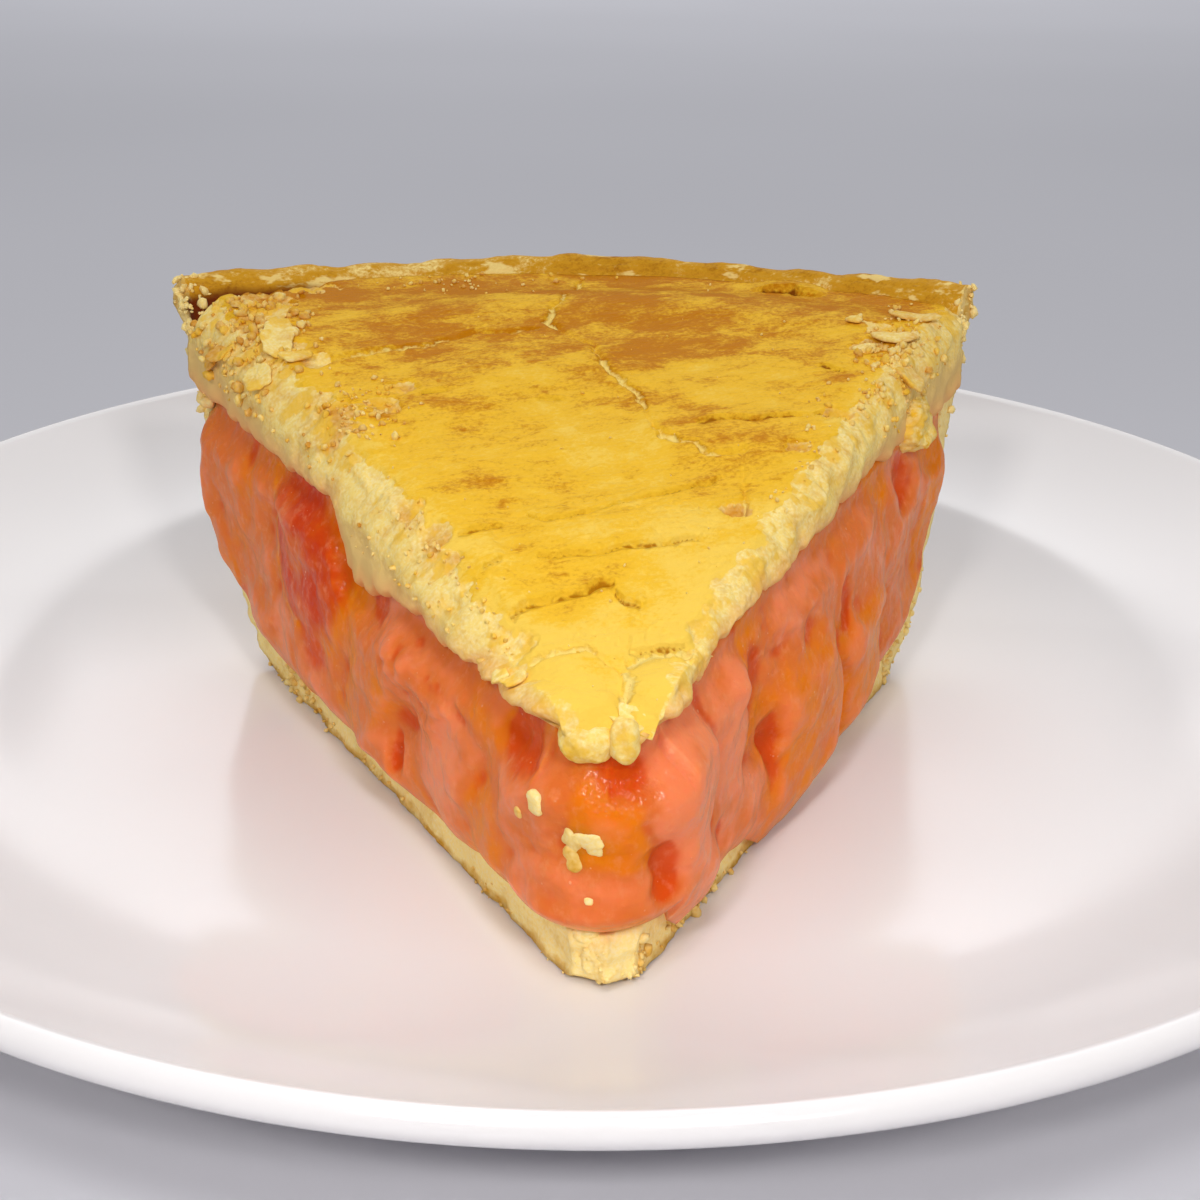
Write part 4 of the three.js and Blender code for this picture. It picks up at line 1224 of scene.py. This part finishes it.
def gathered_crumbs(places, outward, rows, weigh, rng, fineness, least_brown):
    """Crumbs drawn among the corners of a surface by a weight round each gathering place, with their radius
    drawn towards the small end by a power. Also how browned each of their corners is."""
    points, faces, brown, first = [], [], [], 0
    for *gathering, many, small, large, burnt in rows:
        chosen = pick(weigh(*gathering) + 1e-12, many, rng)
        radius = mix(small, large, rng.random(many) ** fineness)
        body, parts, corners = loose_bits(places[chosen], outward[chosen], radius, rng)
        points.append(body)
        faces.extend(part + first for part in parts)
        brown.append(np.repeat(burnt * rng.uniform(least_brown, 1, many), corners))
        first += len(body)
    return np.concatenate(points), faces, np.concatenate(brown)


def lid_crumbs(spots):
    """Crumbs of the top crust: the weight is bell-shaped in distance and side, and only the upper part of the
    cuts and the skin have any."""
    upper = smooth(spots["w"], 0.3, 0.6)

    def weigh(reach, side, spread, wide):
        away = ((spots["reach"] - reach) / spread) ** 2 + ((spots["side"] - side) / wide) ** 2
        return np.exp(-away) * upper

    normals = grid_normals(spots["points"]).reshape(-1, 3)
    places = spots["points"].reshape(-1, 3)
    return gathered_crumbs(places, normals, LID_CRUMBS, weigh, np.random.default_rng(601), 2.5, 0.0)


def case_crumbs(spots):
    """Crumbs on the bottom crust's cuts and lower edge: the weight is bell-shaped in distance, height and
    side, and narrow across where a row keeps to one cut."""

    def weigh(reach, side, z, spread, tall):
        away = ((spots["reach"] - reach) / spread) ** 2 + ((spots["z"] - z) / tall) ** 2
        beside = spots["side"] - side
        return np.exp(-(away + (beside / 0.02) ** 2 * (abs(side) == 1) + (beside / 0.4) ** 2))

    rng = np.random.default_rng(611)
    return gathered_crumbs(spots["points"], spots["out"], CASE_CRUMBS, weigh, rng, 2.2, 0.5)


def dough_bits(spots):
    """Bits of dough pressed into the filling where the knife carried them: torn plates that lie on its
    face."""
    grid, travel, z = spots
    normals = grid_normals(grid)
    flakes, brown = [], []
    for at, up, half_length, half_width, thick, turned, burnt in DOUGH_BITS:
        near = np.unravel_index(np.argmin((travel - at) ** 2 + (z - up) ** 2), z.shape)
        out = normals[near]
        level = np.cross((0.0, 0.0, 1.0), out)
        angle = math.radians(turned)
        direction = level * math.cos(angle) + np.cross(out, level) * math.sin(angle)
        place = grid[near] - 0.45 * thick * out
        flakes.append((place, out, direction, (half_length, half_width), thick, 0.0))
        brown.append(burnt)
    points, faces = flakes_surface(flakes, 0.16)
    return points, faces, np.repeat(brown, len(points) // len(flakes))


def lid_flakes(spots):
    """The loose flakes of the top crust, each laid on the corner of its surface nearest to its place."""
    normals = grid_normals(spots["points"])
    flakes, brown = [], []
    for reach, side, share_up, half_length, half_width, thick, bend, turned, burnt in LID_FLAKES:
        away = (spots["reach"] - reach) ** 2 + (40 * (spots["side"] - side)) ** 2
        away = away + (20 * (spots["w"] - share_up)) ** 2
        at = np.unravel_index(np.argmin(away), away.shape)
        direction = np.array((math.cos(math.radians(turned)), math.sin(math.radians(turned)), 0.0))
        out = normals[at] + (0, 0, 0.6)
        place = spots["points"][at] + 0.3 * out
        flakes.append((place, out, direction, (half_length, half_width), thick, bend))
        brown.append(burnt)
    points, faces = flakes_surface(flakes)
    return points, faces, np.repeat(brown, len(points) // len(flakes))


# ---------- Materials ----------


class Graph:
    """Adds nodes to one node tree and joins them."""

    def __init__(self, tree):
        self.tree = tree

    def node(self, kind, inputs=None, **options):
        made = self.tree.nodes.new(kind)
        for option, value in options.items():
            setattr(made, option, value)
        for socket, value in (inputs or {}).items():
            self.feed(made.inputs[socket], value)
        return made

    def feed(self, socket, value):
        if isinstance(value, bpy.types.NodeSocket):
            self.tree.links.new(value, socket)
        else:
            socket.default_value = value

    def place(self, scale=(1, 1, 1), turned=0.0):
        """Object coordinates in millimetres, turned about Z and then stretched by a scale."""
        place = self.node("ShaderNodeTexCoord").outputs["Object"]
        if turned:
            back = {"Vector": place, "Rotation": (0, 0, -turned)}
            place = self.node("ShaderNodeMapping", back).outputs["Vector"]
        size = tuple(1000 * s for s in scale)
        return self.node("ShaderNodeMapping", {"Vector": place, "Scale": size}).outputs["Vector"]

    def noise(self, place, scale, detail=3.0, roughness=0.55, distortion=0.0):
        inputs = {"Vector": place, "Scale": scale, "Detail": detail, "Roughness": roughness}
        inputs["Distortion"] = distortion
        return self.node("ShaderNodeTexNoise", inputs).outputs["Fac"]

    def field(self, name):
        return self.node("ShaderNodeAttribute", attribute_name=name).outputs["Fac"]

    def step(self, value, low, high, to_low=0.0, to_high=1.0):
        """A soft step from to_low at low to to_high at high."""
        inputs = {"Value": value, "From Min": low, "From Max": high, "To Min": to_low, "To Max": to_high}
        return self.node("ShaderNodeMapRange", inputs, interpolation_type="SMOOTHSTEP").outputs["Result"]

    def math(self, operation, first, second=0.0, clamp=False):
        made = self.node("ShaderNodeMath", {0: first, 1: second}, operation=operation, use_clamp=clamp)
        return made.outputs[0]

    def around(self, value, times):
        """A mask from 0 to 1 as a swing round zero."""
        return self.math("MULTIPLY", self.math("SUBTRACT", value, 0.5), times)

    def plus(self, first, second, times=1.0):
        """The first value and a multiple of the second."""
        return self.math("ADD", first, second if times == 1.0 else self.math("MULTIPLY", second, times))

    def blend(self, amount, first, second, mode="MIX"):
        made = self.node("ShaderNodeMix", data_type="RGBA", blend_type=mode)
        self.feed(made.inputs[0], amount)
        self.feed(made.inputs[6], first)
        self.feed(made.inputs[7], second)
        return made.outputs[2]

    def bump(self, height, strength, distance_mm, normal=None):
        inputs = {"Height": height, "Strength": strength, "Distance": distance_mm * MM}
        if normal is not None:
            inputs["Normal"] = normal
        return self.node("ShaderNodeBump", inputs).outputs["Normal"]


def new_material(name):
    """An empty node material and its graph."""
    material = bpy.data.materials.new(name)
    material.use_nodes = True
    material.node_tree.nodes.clear()
    return material, Graph(material.node_tree)


def finish_material(graph, inputs):
    shader = graph.node("ShaderNodeBsdfPrincipled", inputs)
    output = graph.node("ShaderNodeOutputMaterial")
    graph.feed(output.inputs["Surface"], shader.outputs["BSDF"])


def shader_group(name, inputs, outputs):
    """A node group with named inputs, each with its kind and default, and named outputs."""
    tree = bpy.data.node_groups.new(name, "ShaderNodeTree")
    for socket, (kind, default) in inputs.items():
        made = tree.interface.new_socket(name=socket, in_out="INPUT", socket_type="NodeSocket" + kind)
        made.default_value = default
    for socket, kind in outputs.items():
        tree.interface.new_socket(name=socket, in_out="OUTPUT", socket_type="NodeSocket" + kind)
    graph = Graph(tree)
    given = graph.node("NodeGroupInput").outputs
    result = graph.node("NodeGroupOutput").inputs
    return tree, graph, given, result


def pastry_crumb_group():
    """Broken pastry: its colour between a pale and a toasted one by fat and air, and its height."""
    name = "Pastry Crumb"
    if name in bpy.data.node_groups:
        return bpy.data.node_groups[name]
    tree, graph, given, result = shader_group(
        name,
        {
            "Pale": ("Color", (1, 0.9, 0.6, 1)),
            "Toasted": ("Color", (0.7, 0.4, 0.1, 1)),
            "Toast": ("Float", 0.2),
        },
        {"Color": "Color", "Height": "Float"},
    )
    place = graph.place()
    soft = graph.noise(place, 0.3, 3, 0.7)
    fine = graph.noise(place, 2.4, 2, 0.6)
    patch = graph.math("ADD", graph.math("SUBTRACT", soft, 0.5), given["Toast"])
    speck = graph.step(fine, 0.6, 0.85, 0.0, 0.25)
    toast = graph.math("ADD", graph.step(patch, 0.0, 0.75), speck, clamp=True)
    base = graph.blend(graph.step(fine, 0.3, 0.6, 0.35, 0.0), given["Pale"], BUTTERFAT)
    graph.feed(result["Color"], graph.blend(toast, base, given["Toasted"]))
    rough = graph.math("ADD", graph.math("MULTIPLY", fine, 0.15), graph.math("MULTIPLY", soft, 1.2))
    graph.feed(result["Height"], rough)
    return tree


def oven_skin_group():
    """Baked skin: three colours from pale to dark by a slow mottle and by streaks that run across the
    slice, and the streaks' height."""
    name = "Oven Skin"
    if name in bpy.data.node_groups:
        return bpy.data.node_groups[name]
    tree, graph, given, result = shader_group(
        name,
        {
            "Pale": ("Color", (1, 0.8, 0.3, 1)),
            "Golden": ("Color", (0.8, 0.5, 0.1, 1)),
            "Dark": ("Color", (0.5, 0.2, 0.02, 1)),
            "Bake": ("Float", 0.5),
            "Mottle": ("Float", 0.35),
        },
        {"Color": "Color", "Height": "Float"},
    )
    mottle = graph.noise(graph.place((1, 1.3, 1), ROLLED), 0.06, 3, 0.62, 0.4)
    patch = graph.noise(graph.place((0.8, 1.2, 1), ROLLED), 0.2, 3, 0.66, 0.5)
    streak = graph.noise(graph.place((0.3, 1.3, 1.2), ROLLED), 0.6, 3, 0.62)
    fine = graph.noise(graph.place((1, 1.2, 1.2), ROLLED), 1.6, 2, 0.66)
    total = graph.plus(given["Bake"], graph.around(mottle, given["Mottle"]), 4.5)
    total = graph.plus(total, graph.around(patch, given["Mottle"]), 3.4)
    total = graph.plus(graph.plus(total, graph.around(streak, 0.4)), graph.around(fine, 0.9))
    warm = graph.blend(graph.step(total, 0.0, 0.5), given["Pale"], given["Golden"])
    graph.feed(result["Color"], graph.blend(graph.step(total, 0.5, 1.15), warm, given["Dark"]))
    graph.feed(result["Height"], graph.plus(graph.math("MULTIPLY", streak, 0.8), fine, 0.5))
    return tree


def place_group(graph, tree, inputs):
    made = graph.node("ShaderNodeGroup")
    made.node_tree = tree
    for socket, value in inputs.items():
        graph.feed(made.inputs[socket], value)
    return made.outputs


def dimmed(shade, amount):
    """A colour with a share of its light."""
    return (*(c * amount for c in shade[:3]), 1.0)


def glaze_material(pie):
    """White glaze: faintly uneven in tone and gloss."""
    material, graph = new_material("White Glaze")
    cloud = graph.noise(graph.place(), 0.02, 1, 0.5)
    tone = graph.blend(graph.step(cloud, 0.3, 0.7), pie.plate.glaze, dimmed(pie.plate.glaze, 0.96))
    finish_material(
        graph,
        {
            "Base Color": tone,
            "Roughness": graph.step(cloud, 0.3, 0.7, 0.12, 0.2),
            "IOR": 1.5,
        },
    )
    return material


def case_material(pie):
    """Bottom crust: pale cream where it is cut, golden on its side, darker on the rim and at its bottom
    edge, with painted shade on the inside of the side where the top crust has come away from it."""
    case = pie.case
    if "Baked Crust" in bpy.data.materials:
        return bpy.data.materials["Baked Crust"]
    material, graph = new_material("Baked Crust")
    bare, climbed = graph.field("bare"), graph.field("climbed")
    bake = graph.step(climbed, 0.1, 1.0, 0.32, 0.56)
    baked = place_group(
        graph,
        oven_skin_group(),
        {"Pale": case.crumb, "Golden": case.baked, "Dark": case.toasted, "Bake": bake, "Mottle": 0.3},
    )
    low = graph.step(graph.field("low"), 0.0, 1.0, 0.08, 0.44)
    toast = graph.math("ADD", low, graph.step(climbed, 0.55, 0.9, 0.0, 0.3))
    crumb = place_group(
        graph, pastry_crumb_group(), {"Pale": case.crumb, "Toasted": case.baked, "Toast": toast}
    )
    tone = graph.blend(graph.step(bare, 0.35, 0.65), baked["Color"], crumb["Color"])
    flaky = graph.step(graph.noise(graph.place((0.7, 1.2, 2)), 0.16, 4, 0.62), 0.56, 0.62, 0.0, 0.75)
    tone = graph.blend(graph.math("MULTIPLY", flaky, graph.step(climbed, 0.72, 0.85)), tone, case.crumb)
    # Painted shade on the side's inner face in the gap left by the top crust.
    tone = graph.blend(graph.step(graph.field("gap"), 0.1, 0.8), tone, case.gap_shade)
    height = graph.blend(bare, baked["Height"], crumb["Height"])
    finish_material(
        graph,
        {
            "Base Color": tone,
            "Roughness": graph.step(bare, 0, 1, 0.5, 0.7),
            "Specular IOR Level": 0.04,
            "Normal": graph.bump(height, 0.5, 0.5),
        },
    )
    return material


def lid_material(pie):
    """Top crust: butter yellow to amber skin with streaks, slits darkened by painted shadow, pale cracks
    with painted shade down their middle, and crumb where the skin is lost or cut."""
    lid = pie.lid
    material, graph = new_material("Golden Lid")
    bare, cut, brown = graph.field("bare"), graph.field("cut"), graph.field("brown")
    crack, slit, thin = graph.field("crack"), graph.field("slit"), graph.field("thin")
    below, edge = graph.field("below"), graph.field("edge")
    north = graph.node("ShaderNodeSeparateXYZ", {"Vector": graph.place()}).outputs["Y"]
    bake = graph.math("SUBTRACT", graph.step(north, -75, 18, 0.26, 1.0), graph.step(edge, 0.5, 7, 0.36, 0))
    skin = place_group(
        graph,
        oven_skin_group(),
        {"Pale": lid.butter, "Golden": lid.golden, "Dark": lid.amber, "Bake": bake, "Mottle": 0.4},
    )
    crumb = place_group(
        graph,
        pastry_crumb_group(),
        {"Pale": lid.crumb, "Toasted": lid.toasted, "Toast": graph.step(brown, 0.0, 1.0, 0.12, 0.5)},
    )
    splinter = graph.noise(graph.place((1, 1.3, 1)), 0.9, 3, 0.6)
    shake = graph.math("SUBTRACT", splinter, 0.5)
    jagged = graph.plus(crack, shake, 1.1)
    open_crack = graph.step(jagged, 0.2, 0.55, 1.0, 0.0)
    torn_slit = graph.plus(slit, shake, 0.35)
    open_slit = graph.step(torn_slit, -0.06, 0.14, 1.0, 0.0)
    tatter = graph.math("SUBTRACT", graph.noise(graph.place(), 0.28, 3, 0.6), 0.5)
    ragged_bare = graph.plus(bare, graph.plus(shake, tatter), 0.9)
    lost = graph.math("MAXIMUM", graph.step(ragged_bare, 0.35, 0.6), cut)
    doughy = graph.math("MULTIPLY", graph.step(graph.plus(below, shake, 5), 3.0, 7.0), cut)
    near_skin = graph.step(below, 0.5, 4, 1.0, 0.0)
    gilded = graph.math("MULTIPLY", graph.step(tatter, -0.02, 0.1, 0.0, 0.7), near_skin)
    torn = graph.blend(doughy, graph.blend(gilded, crumb["Color"], lid.golden), lid.dough)
    tone = graph.blend(lost, skin["Color"], torn)
    # Pale crumb in the open cracks, with painted shade in amber down their deepest middle.
    shaded_crack = graph.blend(graph.step(jagged, -0.3, 0.0), lid.amber, lid.crumb)
    tone = graph.blend(open_crack, tone, shaded_crack)
    # Painted shadow in the slits under the lifted sheets' edges: dimmed amber towards the point, darker
    # towards the rim.
    slit_shadow = graph.blend(graph.step(north, -60, 10), dimmed(lid.amber, 0.75), lid.slit_shadow_dark)
    tone = graph.blend(graph.math("MULTIPLY", open_slit, graph.step(cut, 0, 1, 0.92, 0)), tone, slit_shadow)
    juicy = graph.math("MULTIPLY", graph.math("MULTIPLY", thin, cut), 0.35)
    tone = graph.blend(juicy, tone, pie.filling.pink)
    broken = graph.math("MULTIPLY", crumb["Height"], graph.step(doughy, 0, 1, 1, 0.35))
    grain = graph.blend(lost, skin["Height"], broken)
    dip = graph.plus(graph.step(jagged, 0.0, 0.7, -1.4, 0.0), graph.step(torn_slit, 0.0, 0.45, -1.2, 0.0))
    finish_material(
        graph,
        {
            "Base Color": tone,
            "Roughness": graph.step(lost, 0, 1, 0.45, 0.62),
            "Specular IOR Level": 0.03,
            "Normal": graph.bump(graph.math("ADD", grain, dip), 0.55, 0.5),
        },
    )
    return material


def filling_material(pie):
    """Cooked pear in its thickened juice: light goes into it and comes out salmon, pink or amber, under a wet
    film. Hollows and creases turn deeper red, partly the juice's own colour and partly painted shade, and
    raised edges turn pale pink as a painted highlight."""
    fill = pie.filling
    material, graph = new_material("Pear In Juice")
    tone, deep, ridge_highlight = graph.field("tone"), graph.field("deep"), graph.field("ridge_highlight")
    cloud = graph.noise(graph.place(), 0.14, 3, 0.55)
    flesh = graph.noise(graph.place((1, 1, 0.8)), 0.7, 3, 0.6)
    shake = graph.around(cloud, 1.6)
    shifted = graph.plus(tone, shake)
    body = graph.blend(graph.step(shifted, 0.0, 0.5), fill.pink, fill.salmon)
    body = graph.blend(graph.step(shifted, 0.5, 1.0), body, fill.amber)
    body = graph.blend(graph.step(shifted, 1.0, 1.9), body, fill.coral)
    # Painted shade: creases and hollows below their neighbours turn towards the deep red juice colour, shaken
    # by the cloud.
    shade = graph.step(graph.plus(deep, shake), 0.1, 1.0, 0.0, 0.88)
    body = graph.blend(shade, body, fill.ruby)
    # Painted highlight: places raised above their neighbours turn pale pink.
    body = graph.blend(graph.math("MULTIPLY", ridge_highlight, 0.5), body, fill.pink)
    body = graph.blend(graph.step(flesh, 0.5, 0.8, 0.0, 0.28), body, PALE_FLESH)
    spots = graph.node("ShaderNodeTexVoronoi", {"Vector": graph.place(), "Scale": 1.0}).outputs["Distance"]
    foamy = graph.noise(graph.place(), 0.22, 2, 0.6)
    bubble = graph.step(graph.plus(spots, foamy), 0.42, 0.54, 1.0, 0.0)
    body = graph.blend(graph.math("MULTIPLY", bubble, 0.4), body, FOAM)
    ripple = graph.noise(graph.place(), 0.36, 2, 0.5)
    fine = graph.noise(graph.place(), 1.0, 2, 0.55)
    height = graph.plus(graph.plus(ripple, fine, 0.4), bubble, 0.25)
    normal = graph.bump(height, 0.45, 0.95)
    finish_material(
        graph,
        {
            "Base Color": body,
            "Roughness": graph.step(cloud, 0.3, 0.7, 0.4, 0.55),
            "IOR": 1.38,
            "Specular IOR Level": 0.05,
            "Subsurface Weight": 0.7,
            "Subsurface Radius": (1.0, 0.34, 0.12),
            "Subsurface Scale": 0.0035,
            "Coat Weight": 0.45,
            "Coat Roughness": 0.07,
            "Coat IOR": 1.28,
            "Coat Normal": normal,
            "Normal": normal,
        },
    )
    return material


def plain_lid_fields(brown, bare=1.0):
    """Fields for loose bits that share the top crust's material, far from any crack, slit or edge."""
    values = {"bare": bare, "cut": 0, "below": 0, "thin": 0, "crack": FAR, "slit": FAR, "edge": 2}
    return {"brown": brown} | {key: np.full(len(brown), float(value)) for key, value in values.items()}


def plain_case_fields(brown):
    """Fields for loose bits that share the bottom crust's material: bare crumb, more or less browned."""
    return {"bare": np.ones(len(brown)), "climbed": 0 * brown, "gap": 0 * brown, "low": brown}


def floor_material(pie):
    material, graph = new_material("Plain Floor")
    cloud = graph.noise(graph.place(), 0.004, 0, 0.5)
    tone = graph.blend(graph.step(cloud, 0.3, 0.7), pie.stage.floor, dimmed(pie.stage.floor, 0.98))
    finish_material(graph, {"Base Color": tone, "Roughness": 0.8})
    return material


# ---------- Operators ----------


class PIE_OT_plate(bpy.types.Operator):
    """Build the glazed plate in place of its plain solid"""

    bl_idname = "pie.plate"
    bl_label = "Plate"

    def execute(self, context):
        pie = settings()
        points, faces = plate_surface(pie)
        plate = make_piece("plate_glazed", points, faces, glaze_material(pie))
        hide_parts("plate")
        return {"FINISHED"}


class PIE_OT_case(bpy.types.Operator):
    """Build the bottom crust with its crimped rim and crumbly cut faces"""

    bl_idname = "pie.case"
    bl_label = "Bottom crust"

    def execute(self, context):
        pie = settings()
        material = case_material(pie)
        points, faces, fields, spots = case_surface(pie)
        case = make_piece("pastry_crust", points, faces, material, fields)
        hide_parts("bottom_crust")
        points, faces, brown = case_crumbs(spots)
        make_piece("crust_crumbs", points, faces, material, plain_case_fields(brown))
        points, faces = lumps_surface(pie, POINT_LUMPS, 97)
        fields = plain_case_fields(np.zeros(len(points)))
        make_piece("point_lumps", points, faces, material, fields)
        return {"FINISHED"}


class PIE_OT_filling(bpy.types.Operator):
    """Build the pear chunks and their thickened juice as one wet body"""

    bl_idname = "pie.filling"
    bl_label = "Filling"

    def execute(self, context):
        pie = settings()
        points, faces, fields, spots = filling_surface(pie)
        filling = make_piece("pear_body", points, faces, filling_material(pie), fields)
        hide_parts("filling")
        points, faces, brown = dough_bits(spots)
        make_piece("dough_bits", points, faces, case_material(pie), plain_case_fields(brown))
        return {"FINISHED"}


class PIE_OT_lid(bpy.types.Operator):
    """Build the top crust with its cracks, flakes and crumbly edges"""

    bl_idname = "pie.lid"
    bl_label = "Top crust"

    def execute(self, context):
        pie = settings()
        material = lid_material(pie)
        points, faces, fields, spots = lid_surface(pie)
        lid = make_piece("golden_lid", points, faces, material, fields)
        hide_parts("top_crust")
        points, faces = lumps_surface(pie, DOUGH_LUMPS, 90)
        fields = plain_lid_fields(np.full(len(points), 0.05), 0.6)
        make_piece("dough_lumps", points, faces, material, fields)
        points, faces, brown = lid_crumbs(spots)
        make_piece("lid_crumbs", points, faces, material, plain_lid_fields(brown))
        points, faces, brown = lid_flakes(spots)
        make_piece("lid_flakes", points, faces, material, plain_lid_fields(brown))
        return {"FINISHED"}


# The camera's place in millimetres, how far it looks down, its roll and its lens.
CAMERA_PLACE = (1.49, -240.72, 121.18)
CAMERA_TILT = math.radians(23.69)
CAMERA_ROLL = math.radians(0.61)
CAMERA_LENS = 51.0  # millimetres, on a sensor 36 wide

# Soft lights: name, place and aim in metres, width, power in watts, colour, and spread in degrees.
LIGHTS = [
    ("key", (-0.13, -0.46, 0.37), (0, -0.04, 0.03), 0.06, 0.86, (1.0, 0.985, 0.965), 180),
    ("side", (0.15, -0.455, 0.37), (0, -0.04, 0.03), 0.06, 0.82, (1.0, 0.985, 0.97), 180),
    ("top", (0.0, -0.27, 0.43), (0, -0.15, 0), 0.12, 0.045, (1.0, 0.995, 0.99), 44),
    ("left_glint", (-0.42, 0.16, 0.4), (0, -0.02, 0.03), 0.02, 0.2, (1.0, 0.99, 0.98), 180),
    ("right_glint", (0.42, 0.1, 0.4), (0, -0.02, 0.03), 0.02, 0.18, (1.0, 0.99, 0.98), 180),
    ("floor", (0.0, 2.2, 1.8), (0, 2.0, 0), 2.5, 38.0, (0.97, 0.98, 1.0), 180),
]


def aimed(place, aim):
    """A matrix at a place, looking at an aim with its own -Z."""
    back = np.array(place, float) - np.array(aim, float)
    back /= np.linalg.norm(back)
    right = np.cross((0, 0, 1), back)
    right /= np.linalg.norm(right)
    up = np.cross(back, right)
    rows = [(*row, p) for row, p in zip(np.stack([right, up, back], -1), place)]
    return Matrix((*rows, (0, 0, 0, 1)))


class PIE_OT_stage(bpy.types.Operator):
    """Set the camera, the soft lights and the plain floor"""

    bl_idname = "pie.stage"
    bl_label = "Stage"

    def execute(self, context):
        pie = settings()
        scene = context.scene
        lens = bpy.data.cameras.new("photo_camera")
        lens.lens = CAMERA_LENS
        lens.sensor_width = 36
        lens.clip_start = 0.01
        camera = bpy.data.objects.new("photo_camera", lens)
        scene.collection.objects.link(camera)
        tilt = Matrix.Rotation(math.pi / 2 - CAMERA_TILT, 4, "X")
        roll = Matrix.Rotation(CAMERA_ROLL, 4, "Z")
        camera.matrix_world = Matrix.Translation([c * MM for c in CAMERA_PLACE]) @ tilt @ roll
        scene.camera = camera
        for name, place, aim, width, power, tint, spread in LIGHTS:
            lamp = bpy.data.lights.new("light_" + name, "AREA")
            lamp.shape = "SQUARE"
            lamp.size = width
            lamp.energy = power
            lamp.color = tint
            lamp.spread = math.radians(spread)
            holder = bpy.data.objects.new("light_" + name, lamp)
            scene.collection.objects.link(holder)
            holder.matrix_world = aimed(place, aim)
            holder.visible_camera = False
        sky = bpy.data.worlds.new("even_light")
        sky.use_nodes = True
        background = sky.node_tree.nodes["Background"]
        background.inputs["Color"].default_value = (0.94, 0.96, 1.0, 1)
        background.inputs["Strength"].default_value = pie.stage.world
        scene.world = sky
        scene.view_settings.view_transform = "Standard"
        span, cells = 3000.0, 12
        grid = np.linspace(-span, span, cells + 1)
        x, y = np.meshgrid(grid, grid, indexing="ij")
        points = np.stack([x, y, np.zeros_like(x)], -1)
        i = np.arange(cells)[:, None] * (cells + 1) + np.arange(cells)[None, :]
        faces = np.stack([i, i + cells + 1, i + cells + 2, i + 1], -1).reshape(-1, 4)
        floor = make_piece("floor", points, [faces], floor_material(pie), rides=False)
        return {"FINISHED"}


PIECES = [PIE_OT_stage, PIE_OT_plate, PIE_OT_case, PIE_OT_filling, PIE_OT_lid]


class PIE_PT_panel(bpy.types.Panel):
    """Buttons and sizes for each piece of the pie"""

    bl_idname = "PIE_PT_panel"
    bl_label = "Pear Pie"
    bl_space_type = "VIEW_3D"
    bl_region_type = "UI"
    bl_category = "Pear Pie"

    def draw(self, context):
        for operator in PIECES:
            self.layout.operator(operator.bl_idname)
        for group_name, group in GROUPS.items():
            box = self.layout.box()
            box.label(text=group_name.title())
            for key in group.__annotations__:
                box.prop(getattr(context.scene, "pie_" + group_name), key)


CLASSES = [*GROUPS.values(), *PIECES, PIE_PT_panel]


def register():
    for entry in CLASSES:
        bpy.utils.register_class(entry)
    for group_name, group in GROUPS.items():
        setattr(bpy.types.Scene, "pie_" + group_name, PointerProperty(type=group))


def unregister():
    for group_name in GROUPS:
        delattr(bpy.types.Scene, "pie_" + group_name)
    for entry in reversed(CLASSES):
        bpy.utils.unregister_class(entry)


def main():
    register()
    for operator in PIECES:
        family, name = operator.bl_idname.split(".")
        getattr(getattr(bpy.ops, family), name)()


if __name__ == "__main__":
    main()
